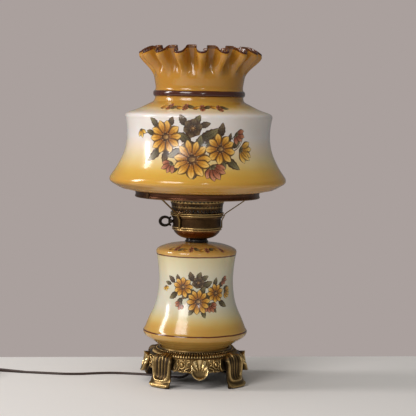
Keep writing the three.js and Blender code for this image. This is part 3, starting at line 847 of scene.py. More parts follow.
def leg(angle):
    """A scooped leaf leg: flutes run down a hollow front inside a thick U-shaped rim, and the toe
    is a rounded pad on the table."""
    rows, columns = 64, 53
    path = np.array(spline(LEG_LINE, 7))
    walk = np.concatenate([[0.0], np.cumsum(np.linalg.norm(np.diff(path, axis=0), axis=1))])
    walk /= walk[-1]
    out_dir = np.array([math.cos(angle), math.sin(angle), 0])
    side_dir = np.array([-math.sin(angle), math.cos(angle), 0])

    def at(v):
        return np.array([np.interp(v, walk, path[:, 0]), np.interp(v, walk, path[:, 1])])

    front, back, worn = [], [], []
    for i in range(rows):
        v = i / (rows - 1)
        r, z = at(v)
        slope = at(min(v + 0.01, 1)) - at(max(v - 0.01, 0))
        slope /= np.linalg.norm(slope)
        outward, upward = abs(slope[1]), slope[0]
        half = float(np.interp(v, *LEG_WIDTHS))
        line_front, line_back = [], []
        for j in range(columns):
            u = 2 * j / (columns - 1) - 1
            reach = ((abs(u) / 0.84) ** 3 + (max(v - 0.4, 0) / 0.42) ** 3) ** (1 / 3)
            ridge = math.exp(-((reach - 1) / 0.12) ** 2) * float(smoothstep(0.02, 0.2, v))
            bowl = max(1 - reach * reach, 0) * float(smoothstep(0.08, 0.4, v))
            leaf = math.cos(6 * math.pi * u) * (1 - reach * reach if reach < 1 else 0)
            crown = float(smoothstep(0.3, 0.05, v)) * abs(math.cos(4.5 * math.pi * u)) * (1 - u * u)
            lift = 2.2 * ridge - 2.6 * bowl + 0.9 * leaf + 1.5 * crown + 0.8 * (1 - u * u)
            if reach > 1.15:
                lift -= 1.6 * min((reach - 1.15) / 0.3, 1) * float(smoothstep(1.0, 0.7, v))
            point = out_dir * (r + outward * lift) + side_dir * u * half
            point[2] = max(z + upward * lift, 0.4)
            line_front.append(point)
            depth = 4.0 + 1.4 * (1 - v)
            floor_z = 0.0 if v > 0.84 else max(z - depth * upward, 0.0)
            line_back.append(out_dir * (r - depth * max(outward, 0.35)) + side_dir * u * half * 0.93
                             + np.array([0, 0, min(floor_z, 41.0)]))
            worn.append(0.34 + 0.5 * ridge + 0.3 * leaf + 0.5 * crown
                        + 0.35 * float(smoothstep(1.2, 1.4, reach)))
        front.append(line_front)
        back.append(line_back)
    verts, faces = grid_solid(front, back)
    return verts, faces, np.concatenate([np.clip(worn, 0, 1), np.full(rows * columns, 0.05)])


# The scrolls and drops on each side of a shell: their radius, and their points (across, height,
# out). Then the beads between them: (across, height, radius).
ORNAMENT_BARS = (
    (1.15, ((17.6, 40.2, 0.8), (14.2, 40.8, 1.2), (13.4, 38.4, 1.4), (15.8, 37.2, 1.4),
            (17.4, 35.4, 1.2), (16.6, 33.0, 1.2), (14.4, 32.2, 1.0))),
    (1.1, ((12.8, 30.6, 1.0), (15.8, 29.2, 1.3), (18.6, 28.0, 1.3), (20.2, 26.2, 1.2),
           (18.8, 24.6, 1.0))),
    (1.3, ((31.0, 41.4, 0.6), (31.6, 37.0, 1.2), (31.0, 32.0, 1.4), (31.8, 27.6, 1.2),
           (33.4, 25.2, 0.8))),
    (1.0, ((22.0, 26.0, 0.8), (24.6, 25.0, 1.5), (27.2, 24.8, 1.5), (30.0, 26.0, 0.8))),
)
ORNAMENT_BEADS = ((19.2, 31.4, 1.1), (28.6, 27.4, 1.1), (20.6, 39.6, 1.0))


def foot_ornaments():
    """Ovals with a bead, scrolls and drops between the shells and the legs, and beads on the lip."""
    parts = []
    for quarter in range(4):
        middle = quarter * math.pi / 2
        for side in (1, -1):
            ring = []
            for t in np.linspace(0, 2 * math.pi, 25)[:-1]:
                ring.append(on_wall(middle, side * (24.5 + 4.4 * math.cos(t)), 34 + 5.6 * math.sin(t), 0.9))
            parts.append(swept_mesh(ring, oval(2.0, 2.2, 8), [p * [1, 1, 0] for p in ring], True))
            parts.append(bead(on_wall(middle, side * 24.5, 34, 0.6), 2.7, 1.2))
            for radius, points in ORNAMENT_BARS:
                parts.append(wall_bar(middle, [(side * x, z, out) for x, z, out in points], radius))
            for x, z, size in ORNAMENT_BEADS:
                parts.append(bead(on_wall(middle, side * x, z, 0.4), size))
    return joined(parts + bead_ring(55.2, 47.9, 96, 0.95))


def make_foot(material):
    solids, worn = [], []
    for part in [foot_shell()] + [scallop(k * math.pi / 2) for k in range(4)] + [
        leg(math.pi / 4 + k * math.pi / 2) for k in range(4)
    ]:
        solids.append((part[0], part[1]))
        worn.append(part[2])
    ornaments = foot_ornaments()
    solids.append(ornaments)
    worn.append(np.full(len(ornaments[0]), 0.78))
    verts, faces = joined(solids)
    verts[:, 2] = np.maximum(verts[:, 2], 0.0)
    piece("foot_cast_brass", verts, faces, "lamp", material, ("foot_casting",), 60,
          {"worn": np.concatenate(worn)})


# ---------------------------------------------------------------- burner, ring, arms and key


def collar_and_bowl(black, bronze):
    turned("neck_cap", outline(
        [(5.1, 202.6), (16.0, 202.5), (16.8, 203.2), (16.9, 204.4)],
        [(16.9, 204.4), (15.8, 205.0), (15.6, 206.0), (15.0, 207.2), (13.0, 207.7), (5.1, 207.7),
         (5.1, 206.5)],
        [(5.1, 206.5), (5.1, 202.6)],
    ), 96, "lamp", black, ("neck_collar",))
    turned("burner_lower_bowl", outline(
        [(5.1, 207.9), (16.0, 208.0), (20.4, 208.8), (25.0, 210.6), (29.0, 213.2), (32.2, 216.6),
         (33.6, 219.2), (34.0, 220.2)],
        [(34.0, 220.2), (35.4, 220.4), (36.0, 221.4), (35.4, 222.4), (34.4, 222.6)],
        [(34.4, 222.6), (32.6, 222.4)],
        [(32.6, 222.4), (31.4, 218.4), (28.4, 214.6), (24.4, 212.0), (20.0, 210.2), (16.0, 209.2),
         (5.1, 209.1), (5.1, 207.9)],
    ), 128, "lamp", bronze, ("burner_bowl",), worn=((221.4, 1.0, 0.9),))


BAND_OUTER = [
    [(33.4, 222.8), (35.2, 222.8), (36.0, 223.4), (36.2, 224.2), (35.8, 225.2), (35.0, 225.6)],
    [(35.0, 225.6), (35.0, 231.0), (35.0, 237.2)],
    [(35.0, 237.2), (36.2, 237.8), (36.8, 239.0), (37.0, 240.6)],
    [(37.0, 240.6), (38.3, 241.0), (38.6, 242.0), (38.0, 243.0), (37.0, 243.4)],
]


def drum(bronze):
    """The burner's drum, with rolled ridges; the key's shaft runs through its wall, which is not pierced for
    it.
    """
    line = outline(*BAND_OUTER, steps=5)
    inner = [(36.0, 243.2), (35.6, 241.0), (34.8, 238.4), (33.8, 237.4), (33.8, 225.8), (33.4, 222.8)]
    line += [np.array(p, float) for p in inner]
    turned("burner_drum", line, 144, "lamp", bronze, ("burner_band",),
           worn=((224.2, 0.9, 0.75), (242.0, 0.9, 0.85)))


def pierced_crown(bronze):
    """The gallery: a floor with a rolled edge, and a wall pierced with arches and round holes under
    a scalloped top."""
    bays, per_bay = 40, 12
    columns = bays * per_bay
    heights = [244.4, 245.6, 246.8, 247.6, 248.4, 249.2, 250.0, 250.8, 251.4, 252.2, 253.0, 253.8,
               254.6, 255.4, 256.2, 257.0, 257.8, 258.6, 259.4, 260.2, 261.0]
    radii = np.interp(heights, [244.4, 246.8, 251.0, 256.0, 259.0, 261.0],
                      [38.2, 37.0, 36.9, 37.3, 38.0, 38.4])
    verts, index = [], {}

    def point(i, j, inner):
        key = (i, j % columns, inner)
        if key not in index:
            phase = ((j % per_bay) / per_bay - 0.5) * 2
            z = heights[i]
            if i == len(heights) - 1:
                z += 0.9 * math.cos(math.pi * phase)
            turn = 2 * math.pi * j / columns
            r = radii[i] - (0.8 if inner else 0.0)
            index[key] = len(verts)
            verts.append((r * math.cos(turn), r * math.sin(turn), z))
        return index[key]

    def hole(i, j):
        if i < 0 or i >= len(heights) - 1:
            return True
        phase = abs(((j % per_bay) + 0.5) / per_bay - 0.5) * 2
        z = (heights[i] + heights[i + 1]) / 2
        arch = 247.4 < z < 251.4 and phase < 0.4 * math.sqrt(max(1 - ((z - 248.4) / 3.1) ** 2, 0))
        side = 1 - phase
        dot = (side / 0.3) ** 2 + ((z - 255.4) / 1.3) ** 2 < 1
        return arch or dot

    faces = []
    for i in range(len(heights) - 1):
        for j in range(columns):
            if hole(i, j):
                continue
            a, b, c, d = point(i, j, 0), point(i, j + 1, 0), point(i + 1, j + 1, 0), point(i + 1, j, 0)
            e, f, g, h = point(i, j, 1), point(i, j + 1, 1), point(i + 1, j + 1, 1), point(i + 1, j, 1)
            faces += [(a, b, c, d), (f, e, h, g)]
            if hole(i - 1, j):
                faces.append((b, a, e, f))
            if hole(i + 1, j):
                faces.append((d, c, g, h))
            if hole(i, (j + 1) % columns):
                faces.append((c, b, f, g))
            if hole(i, (j - 1) % columns):
                faces.append((a, d, h, e))
    wall = (np.array(verts), faces)
    floor = turned_mesh(outline(
        [(19.0, 243.8), (34.0, 243.8), (37.4, 243.8), (38.6, 244.1), (38.8, 244.9), (38.3, 245.6)],
        [(38.3, 245.6), (37.2, 245.6), (36.4, 244.9)],
        [(36.4, 244.9), (19.0, 244.9)],
        [(19.0, 244.9), (19.0, 243.8)],
    ), 128)
    top = []
    for t in np.linspace(0, 2 * math.pi, columns // 2 + 1)[:-1]:
        phase = (t / (2 * math.pi) * bays) % 1 - 0.5
        z = 261.4 + 0.9 * math.cos(2 * math.pi * phase)
        top.append(np.array([38.1 * math.cos(t), 38.1 * math.sin(t), z]))
    rim = swept_mesh(top, oval(1.3, 1.2, 8), [(0, 0, 1.0)] * len(top), True)
    verts, faces = joined([wall, floor, rim] + bead_ring(37.5, 259.0, bays, 0.85))
    r = np.hypot(verts[:, 0], verts[:, 1])
    worn = 0.85 * smoothstep(259.6, 261.0, verts[:, 2]) + 0.8 * ((r > 37.9) & (verts[:, 2] < 245.8))
    worn += ring_wear(verts, (254.2, 0.8, 0.45))
    piece("burner_pierced_gallery", verts, faces, "lamp", bronze, ("burner_gallery",),
          40, {"worn": np.clip(worn, 0, 1)})


def ring(copper):
    """The shade ring: a rolled band with a ledge, joined by a lapped seam."""
    line = outline(
        [(88.4, 267.4), (89.4, 267.4), (90.0, 268.0), (90.0, 269.4)],
        [(90.0, 269.4), (89.5, 270.0), (89.5, 274.2), (90.0, 274.8)],
        [(90.0, 274.8), (90.0, 276.0), (89.5, 276.6), (88.9, 276.3), (88.7, 275.2), (88.6, 272.4)],
        [(88.6, 272.4), (78.3, 272.2), (78.0, 271.7), (78.3, 271.1)],
        [(78.3, 271.1), (88.2, 271.0), (88.2, 268.4), (88.4, 267.4)],
    )
    verts, faces = turned_mesh(line, 192)
    parts = [(verts, faces)]
    lap = []
    for turn in np.linspace(-0.03, 0.03, 9):
        a = math.radians(-147) + turn
        column = []
        for z in np.linspace(267.9, 276.1, 9):
            column.append(np.array([90.7 * math.cos(a), 90.7 * math.sin(a), z]))
        lap.append(column)
    back = [[p * [0.994, 0.994, 1] for p in column] for column in lap]
    parts.append(grid_solid(lap, back))
    verts, faces = joined(parts)
    worn = ring_wear(verts, (268.0, 0.7, 0.18), (276.2, 0.6, 0.18))
    worn[len(parts[0][0]):] = 0.12
    piece("shade_carrier_ring", verts, faces, "lamp", copper, ("shade_ring",), 30,
          {"worn": worn})


ARM_LINE = [
    (86.0, 270.0), (82.0, 270.0), (77.6, 269.6), (72.0, 266.2), (60.0, 257.7), (50.0, 250.7),
    (43.6, 246.2), (41.4, 244.2), (40.2, 242.0), (39.3, 239.6), (37.8, 237.0), (36.9, 234.6),
    (36.8, 230.0), (36.8, 224.2),
]


def arms(brass):
    """Three bent strips with a flat pad that is riveted under the ring's ledge."""
    path = spline(ARM_LINE, 6)
    for i, degrees in enumerate((-139, -19, 101)):
        angle = math.radians(degrees)
        out, side = np.array([math.cos(angle), math.sin(angle)]), (-math.sin(angle), math.cos(angle), 0)
        points = [np.array([r * out[0], r * out[1], z]) for r, z in path]
        sections = []
        for r, z in path:
            width = 3.4 + 3.0 * float(smoothstep(76.0, 79.5, r)) * float(smoothstep(87.5, 84.0, r))
            sections.append(np.array(oval(1.5, width, 12, 3.5)))
        verts, faces = swept_mesh(points, np.array(sections), [side] * len(points))
        piece(f"ring_arm_strip_{i + 1}", verts, faces, "lamp", brass,
              (f"ring_arm_{i + 1}",), 50, {"worn": np.full(len(verts), 0.05)})
        verts, faces = turned_mesh(outline(
            [(0, 267.4), (1.4, 267.6), (2.4, 268.2), (2.7, 268.9)], [(2.7, 268.9), (1.3, 269.0)],
            [(1.3, 269.0), (1.3, 272.5), (2.1, 272.6), (1.7, 273.3), (0, 273.6)]), 24)
        verts = verts + [82 * out[0], 82 * out[1], 0]
        piece(f"arm_rivet_head_{i + 1}", verts, faces, "lamp", brass,
              (f"arm_rivet_{i + 1}",), 40, {"worn": np.full(len(verts), 0.5)})


KEY_HEIGHT = 232.1


def key(black):
    """The switch key: an oval loop with a small knob on each side of its neck, on a stepped shaft."""
    loop, sections = [], []
    for t in np.linspace(0, 2 * math.pi, 65)[:-1]:
        thick = 1 + 0.18 * math.cos(t)
        loop.append(np.array([-46.2 - 7.1 * math.cos(t), 0.0, KEY_HEIGHT + 6.1 * math.sin(t)]))
        sections.append(np.array(oval(4.0 * thick, 3.0, 12, 2.6)))
    parts = [swept_mesh(loop, np.array(sections), [(0, 1.0, 0)] * len(loop), True)]
    for side in (1, -1):
        parts.append(bead((-38.6, 0, KEY_HEIGHT + side * 5.4), 1.7))
    lying = np.array(Matrix.Rotation(math.radians(-90), 4, "Y"))[:3, :3].T

    def along_shaft(*runs):
        verts, faces = turned_mesh(outline(*runs), 24)
        return verts @ lying + [0, 0, KEY_HEIGHT], faces

    parts.append(along_shaft([(0, 36.0), (2.4, 36.0), (2.9, 36.9), (2.7, 38.0), (2.1, 39.2), (1.9, 41.4),
                              (0, 41.6)]))
    verts, faces = joined(parts)
    piece("key_finger_loop", verts, faces, "key", black, ("key_loop",), 45)
    verts, faces = along_shaft([(0, 9.0), (1.6, 9.0), (1.9, 9.4)],
                               [(1.9, 9.4), (2.0, 30.0), (2.1, 35.6), (1.7, 36.2), (0, 36.2)])
    piece("key_shaft", verts, faces, "key", black, ("key_stem",), 45)


# ---------------------------------------------------------------- chimney, bulb, socket and pipe


def clear_glass():
    tree = Tree("clear_chimney_glass")
    seeds = tree.bump(tree.noise(30, 1.0), 0.0008, 0.3)
    draw = tree.bump(tree.noise(1.0, 1.0, vector=tree.stretched(160, 160, 12)), 0.00008, 0.5, seeds)
    smudge = tree.remap(tree.noise(40, 4.0), 0.35, 0.8, 0.01, 0.07)
    tree.set(Base_Color=(0.96, 0.985, 0.975, 1), Roughness=smudge, Normal=draw,
             Transmission_Weight=1.0)
    tree.bsdf.inputs["IOR"].default_value = 1.48
    return tree.material


def frosted_glass():
    tree = Tree("frosted_bulb_glass")
    etch = tree.noise(1400, 2.0)
    tone = tree.mix(tree.remap(tree.noise(60, 3.0), 0.35, 0.7), linear(240, 238, 230), linear(226, 223, 212))
    tree.set(Base_Color=tone, Roughness=tree.remap(etch, 0.3, 0.7, 0.3, 0.45),
             Normal=tree.bump(etch, 0.00002, 0.6), Subsurface_Weight=0.2, Subsurface_Scale=0.003)
    return tree.material


def chimney(glass):
    turned("chimney_clear_glass", outline(
        [(35.0, 245.4), (36.7, 245.4), (37.0, 246.4), (36.9, 250.0), (36.7, 262.0), (37.0, 276.0),
         (39.6, 290.0), (45.4, 303.0), (49.2, 312.0), (50.0, 319.0), (49.4, 330.0), (46.2, 344.0),
         (40.6, 366.0), (36.0, 388.0), (33.4, 408.0), (31.6, 436.0), (30.5, 461.6)],
        [(30.5, 461.6), (30.1, 463.0), (29.0, 463.3), (28.4, 462.2)],
        [(28.4, 462.2), (29.5, 436.0), (31.3, 408.0), (33.9, 388.0), (38.5, 366.0), (44.1, 344.0),
         (47.3, 330.0), (47.9, 319.0), (47.1, 312.8), (43.4, 304.0), (37.6, 291.0), (34.9, 276.0),
         (34.6, 262.0), (34.6, 250.0), (34.6, 246.2), (35.0, 245.4)],
        steps=4), 160, "chimney", glass, ("chimney_glass",))


def bulb(glass, steel):
    turned("bulb_frosted_glass", outline(
        [(0, 329.6), (6.0, 328.9), (13.0, 325.6), (18.8, 319.8), (22.6, 312.2), (23.9, 304.6),
         (22.9, 296.0), (19.8, 288.0), (16.2, 280.8), (13.9, 273.8), (12.9, 266.0), (12.7, 263.4)],
        [(12.7, 263.4), (11.8, 263.4)],
        [(11.8, 263.4), (12.0, 266.0), (13.0, 273.8), (15.3, 281.0), (18.9, 288.4), (22.0, 296.4),
         (23.0, 304.6), (21.7, 311.8), (18.2, 319.0), (12.6, 324.7), (5.8, 328.0), (0, 328.7)],
        steps=5), 96, "bulb", glass, ("bulb_glass",))
    line = outline([(0, 241.5), (4.4, 241.5), (7.4, 242.4), (10.6, 244.6), (11.9, 246.0)],
                   [(11.9, 246.0), (12.2, 254.0), (12.4, 259.6)],
                   [(12.4, 259.6), (12.9, 260.4), (12.9, 262.6), (12.5, 263.0)],
                   [(12.5, 263.0), (0, 263.0)], steps=14)

    def thread(radius, height, angle):
        share = smoothstep(246.0, 247.4, height) * smoothstep(259.6, 258.4, height)
        turn = (height - 246.0) / 3.6 - angle / (2 * math.pi)
        return radius + share * 0.55 * np.sin(2 * math.pi * turn), height

    verts, faces = turned_mesh(line, 72, thread)
    piece("bulb_screw_base", verts, faces, "bulb", steel, ("bulb_base",), 40)


def refinished(name, material):
    """A CAD node that keeps its shape and takes a new material."""
    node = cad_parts[name]
    node.data.materials.clear()
    node.data.materials.append(material)
    return node


def carried(brass, steel, insulator, fibre, copper_wire):
    """The hidden pieces keep their CAD shape and take a worn finish."""
    finishes = {
        brass: ("socket_cap", "socket_shell", "socket_screw_shell", "socket_contact", "terminal_screw_1",
                "terminal_screw_2"),
        steel: ("lamp_pipe", "lock_washer", "bottom_nut", "burner_locknut", "bulb_contact"),
        insulator: ("pipe_bushing", "socket_switch_body"),
        fibre: ("socket_liner",),
        copper_wire: ("inner_cord", "lead_1", "lead_2"),
    }
    for material, names in finishes.items():
        for name in names:
            refinished(name, material)


# ---------------------------------------------------------------- plug and tie


def plug(vinyl, brass, tie_plastic):
    """A moulded two-blade plug with a ribbed grip, its blades, and the tie round the coil."""
    angle = math.radians(-79.6)
    at = np.array([-353.25, -7.6, 5.6])
    ahead = np.array([math.cos(angle), math.sin(angle), 0.0])
    path, sections = [], []
    stations = np.linspace(0, 26, 53)
    for s in stations:
        width = float(np.interp(s, [0, 3, 9, 15, 20, 24.6, 26], [7.6, 9.0, 13.4, 18.6, 21.4, 22.0, 20.6]))
        thick = float(np.interp(s, [0, 3, 10, 18, 24.6, 26], [6.0, 7.2, 9.2, 10.6, 11.0, 9.8]))
        rib = 0.35 * (math.cos(2 * math.pi * s / 2.2) if 5 < s < 18 else 0.0)
        path.append(at + ahead * s)
        sections.append(np.array(oval(width + rib, thick + rib, 28, 3.4)))
    verts, faces = swept_mesh(path, np.array(sections), [(0, 0, 1.0)] * len(path))
    body = piece("plug_moulded_body", verts, faces, "lamp", vinyl, ("plug_body",), 40)
    side = np.array([-ahead[1], ahead[0], 0.0])
    blades = []
    for i, offset in enumerate((6.35, -6.35)):
        front, back = [], []
        for z in np.linspace(-3.17, 3.17, 9):
            front_line, back_line = [], []
            for s in np.linspace(26.3, 43.8, 21):
                tip = float(smoothstep(40.8, 43.8, s))
                half = 0.75 * (1 - 0.55 * tip)
                height = z * (1 - 0.16 * tip)
                point = at + ahead * s + side * offset + np.array([0, 0, height])
                front_line.append(point + side * half)
                back_line.append(point - side * half)
            front.append(front_line)
            back.append(back_line)
        verts, faces = grid_solid(front, back)
        blades.append(piece(f"plug_blade_pin_{i + 1}", verts, faces, "lamp", brass,
                            (f"plug_blade_{i + 1}",), 30))
    return [body, *blades, refinished("cord_tie", tie_plastic)]


# ---------------------------------------------------------------- painted flowers

# Paint stands PAINT_LIFT off the glass, and LAYER_LIFT more for each layer. Its underside is at
# PAINT_ROOT, inside the glass.
PAINT_LIFT, LAYER_LIFT, PAINT_ROOT = 0.05, 0.0022, -0.12

# The enamels: each one's colour in the middle of a stroke, at its foot and at its tip.
ENAMELS = [
    ((220, 158, 52), (138, 80, 26), (242, 208, 124)),
    ((228, 174, 66), (156, 96, 34), (244, 214, 138)),
    ((172, 100, 68), (98, 46, 34), (216, 160, 120)),
    ((106, 96, 64), (56, 48, 32), (148, 138, 96)),
    ((94, 76, 52), (48, 36, 24), (132, 110, 76)),
    ((104, 70, 42), (66, 42, 24), (122, 86, 54)),
    ((176, 134, 78), (120, 84, 44), (206, 170, 110)),
    ((230, 184, 72), (184, 122, 36), (242, 222, 154)),
]
GOLD, YELLOW, RUST, LEAF, BROWN, EYE, STAMEN, BUD = (float(k) for k in range(8))


def surface_of(runs, low, high):
    """The glass's outer radius at each height of a run of its outline, for wrapping paint on it."""
    line = np.array(outline(*runs, steps=6))
    keep = (line[:, 1] >= low) & (line[:, 1] <= high)
    line = line[keep]
    order = np.argsort(line[:, 1])
    return lambda z: np.interp(z, line[order, 1], line[order, 0])


class Paint:
    """Flat enamel shapes laid on a glass body, in layers. A shape is drawn in millimetres round a
    point of the surface, and carries its colour key and its place across the stroke."""

    def __init__(self, radius):
        self.radius = radius
        self.parts, self.hue, self.across, self.along, self.seed = [], [], [], [], []
        self.layer = 0

    def wrap(self, azimuth, z0, points, height):
        """Points (right, up) beside a spot at an azimuth from -Y towards +X, as points in space."""
        points = np.asarray(points, float)
        z = z0 + points[:, 1]
        base = self.radius(z0)
        r = self.radius(z) + height
        turn = math.radians(azimuth) + points[:, 0] / base
        return np.stack([r * np.sin(turn), -r * np.cos(turn), z], 1)

    def shape(self, azimuth, z0, centre_line, half_widths, hue, seed=0.0):
        """A petal or leaf: a strip along a line of (right, up) points with a half width at each."""
        line = np.asarray(centre_line, float)
        along = np.gradient(line, axis=0)
        along /= np.maximum(np.linalg.norm(along, axis=1), 1e-9)[:, None]
        normal = np.stack([-along[:, 1], along[:, 0]], 1)
        columns = 9
        self.layer += 1
        lift = PAINT_LIFT + LAYER_LIFT * self.layer
        top, bottom = [], []
        share = np.linspace(0, 1, len(line))
        for p, n, w in zip(line, normal, half_widths):
            across = np.linspace(-1, 1, columns)
            points = p + n * (across * w)[:, None]
            top.append(self.wrap(azimuth, z0, points, lift))
            bottom.append(self.wrap(azimuth, z0, points, PAINT_ROOT))
        verts, faces = grid_solid(top, bottom)
        self.parts.append((verts, faces))
        count = len(line) * columns
        across = np.tile(np.abs(np.linspace(-1, 1, columns)), len(line))
        self.hue += [hue] * (2 * count)
        self.across += list(across) * 2
        self.along += list(np.repeat(share, columns)) * 2
        self.seed += [seed] * (2 * count)

    def petal(self, azimuth, z0, direction, start, length, width, hue, bend=0.0, seed=0.0):
        """A petal outwards from a centre: narrow at its foot, full before its tip, a little notched."""
        steps = np.linspace(0, 1, 12)
        a = math.radians(direction)
        u, v = np.array([math.cos(a), math.sin(a)]), np.array([-math.sin(a), math.cos(a)])
        line = [u * (start + length * t) + v * bend * t * t * length for t in steps]
        widths = [width / 2 * (0.3 + 0.8 * float(smoothstep(0.0, 0.62, t)))
                  * (1.0 if t < 0.62 else max(1 - ((t - 0.62) / 0.38) ** 1.9, 0.08))
                  for t in steps]
        self.shape(azimuth, z0, line, widths, hue, seed)

    def leaf(self, azimuth, z, direction, length, width, hue, bend=0.25, seed=0.0):
        """A pointed leaf whose edges swell in the middle."""
        steps = np.linspace(0, 1, 13)
        a = math.radians(direction)
        u, v = np.array([math.cos(a), math.sin(a)]), np.array([-math.sin(a), math.cos(a)])
        line = [u * length * (t - 0.5) + v * bend * length * (t - 0.5) ** 2 for t in steps]
        widths = [max(width / 2 * math.sin(math.pi * t ** 0.85) ** 0.8
                      * (1 + 0.12 * math.cos(9 * math.pi * t)), 0.12) for t in steps]
        self.shape(azimuth, z, line, widths, hue, seed)

    def stem(self, azimuth, z0, points, width, hue):
        line = spline(points, 5)
        widths = [width / 2 * (1 - 0.5 * t) for t in np.linspace(0, 1, len(line))]
        self.shape(azimuth, z0, line, widths, hue)

    def disc(self, azimuth, z0, right, up, radius, hue):
        rows = np.linspace(-1, 1, 9)
        line = [np.array([right + radius * t, up]) for t in rows]
        widths = [max(radius * math.sqrt(max(1 - t * t, 0)), 0.06) for t in rows]
        self.shape(azimuth, z0, line, widths, hue, 0.0)

    def daisy(self, azimuth, z, radius, hue, petals, turn, rng):
        """A flower seen from its front: petals round an eye, and stamens round the eye's edge."""
        for k in range(petals):
            wobble = rng.uniform(-4, 4)
            direction = turn + 360 * k / petals + wobble
            length = radius * (0.78 + rng.uniform(-0.05, 0.05))
            self.petal(azimuth, z, direction, radius * 0.17, length, radius * 4.7 / petals, hue,
                       rng.uniform(-0.12, 0.12), rng.uniform(0, 1))
        self.disc(azimuth, z, 0, 0, radius * 0.25, EYE)
        self.disc(azimuth, z, 0, 0, radius * 0.16, STAMEN)
        for k in range(9):
            a = 2 * math.pi * k / 9 + 0.3
            reach = radius * (0.235 if k % 2 else 0.27)
            self.disc(azimuth, z, reach * math.cos(a), reach * math.sin(a), radius * 0.045, STAMEN)

    def bell(self, azimuth, z, radius, hue, petals, direction, rng):
        """A flower seen from its side: a fan of petals out of a small green cup."""
        for k in range(petals):
            lean = (k - (petals - 1) / 2) * 130 / petals
            length = radius * (1.05 - 0.1 * abs(lean) / 65 + rng.uniform(-0.06, 0.06))
            self.petal(azimuth, z, direction + lean, radius * 0.05, length, radius * 0.5, hue,
                       rng.uniform(-0.12, 0.12), rng.uniform(0, 1))
        for lean in (-50, 0, 50):
            self.petal(azimuth, z, direction + lean, 0, radius * 0.34, radius * 0.22, LEAF, 0, 0.5)

    def finish(self, name, body, material):
        verts, faces = joined(self.parts)
        return piece(name, verts, faces, body, material, (), 80, {
            "hue": self.hue, "across": self.across, "along": self.along, "seed": self.seed,
        })


def enamel_material():
    """Hand-painted enamel: petals shaded from their foot to their tip, darker at their edges, with
    fine veins and brush marks."""
    tree = Tree("flower_enamel")
    hue, across = tree.attribute("hue"), tree.attribute("across")
    along, seed = tree.attribute("along"), tree.attribute("seed")
    mains, feet, tips = zip(*ENAMELS)
    last = len(ENAMELS) - 1

    def pick(colours):
        node = tree.add("ShaderNodeValToRGB", {"Fac": tree.remap(hue, 0, last)})
        node.color_ramp.interpolation = "CONSTANT"
        elements = node.color_ramp.elements
        while len(elements) < len(colours):
            elements.new(0.5)
        for k, (element, colour) in enumerate(zip(elements, colours)):
            element.position = max((k - 0.5) / last, 0.0)
            element.color = linear(*colour)
        return node.outputs["Color"]

    brush = tree.noise(700, 3.0)
    foot = tree.remap(tree.math("ADD", along, tree.math("MULTIPLY_ADD", brush, 0.3, -0.15)), 0.72, 0.12)
    tip = tree.remap(along, 0.55, 1.0)
    colour = tree.mix(foot, pick(mains), pick(feet))
    colour = tree.mix(tree.math("MULTIPLY", tip, 0.75), colour, pick(tips))
    vein = tree.remap(across, 0.13, 0.04)
    ribs = tree.math("SINE", tree.math("MULTIPLY_ADD", across, 19.0, seed))
    ribs = tree.remap(tree.math("MULTIPLY", ribs, tree.remap(along, 0.95, 0.3)), 0.55, 0.95)
    dark = tree.mix(0.6, pick(feet), linear(58, 32, 18))
    colour = tree.mix(tree.math("MULTIPLY", tree.math("MAXIMUM", vein, ribs), 0.4), colour, dark)
    side = tree.remap(tree.math("ADD", across, tree.math("MULTIPLY_ADD", brush, 0.24, -0.12)), 0.52, 0.74)
    ends = tree.math("MAXIMUM", tree.remap(along, 0.94, 0.99), tree.remap(along, 0.05, 0.0))
    colour = tree.mix(tree.math("MULTIPLY", tree.math("MAXIMUM", side, ends), 0.9), colour,
                      linear(66, 42, 26))
    tree.set(Base_Color=colour, Roughness=tree.remap(brush, 0.3, 0.7, 0.22, 0.36),
             Normal=tree.bump(brush, 0.00003, 0.5), Coat_Weight=0.3)
    tree.bsdf.inputs["Coat Roughness"].default_value = 0.08
    return tree.material


def bouquet(paint, flowers, bells, leaves, rng):
    """Leaves (azimuth, height, direction, length, width) first, then the flowers over them, each
    with its azimuth, height, radius, enamel, number of petals, and turn or direction."""
    for azimuth, z, direction, length, width in leaves:
        hue = BROWN if rng.uniform() < 0.3 else LEAF
        paint.leaf(azimuth, z, direction, length, width, hue, rng.uniform(-0.35, 0.35),
                   rng.uniform(0, 6))
    for bell in bells:
        paint.bell(*bell, rng)
    for flower in flowers:
        paint.daisy(*flower, rng)


def flower_chain(paint, z, start, end, count, size, rng):
    """A row of small buds and leaves."""
    paint.layer = 0
    for k in range(count):
        azimuth = start + (end - start) * k / (count - 1)
        rise = 0.8 * math.sin(1.7 * k)
        if k % 3 == 1:
            paint.daisy(azimuth, z + rise, size, RUST, 5, 20 + 31 * k, rng)
        else:
            hue = GOLD if k % 3 == 0 else LEAF
            paint.leaf(azimuth, z + rise, 12 * (-1) ** k, size * 2.4, size * 0.9, hue, 0.2,
                       rng.uniform(0, 6))


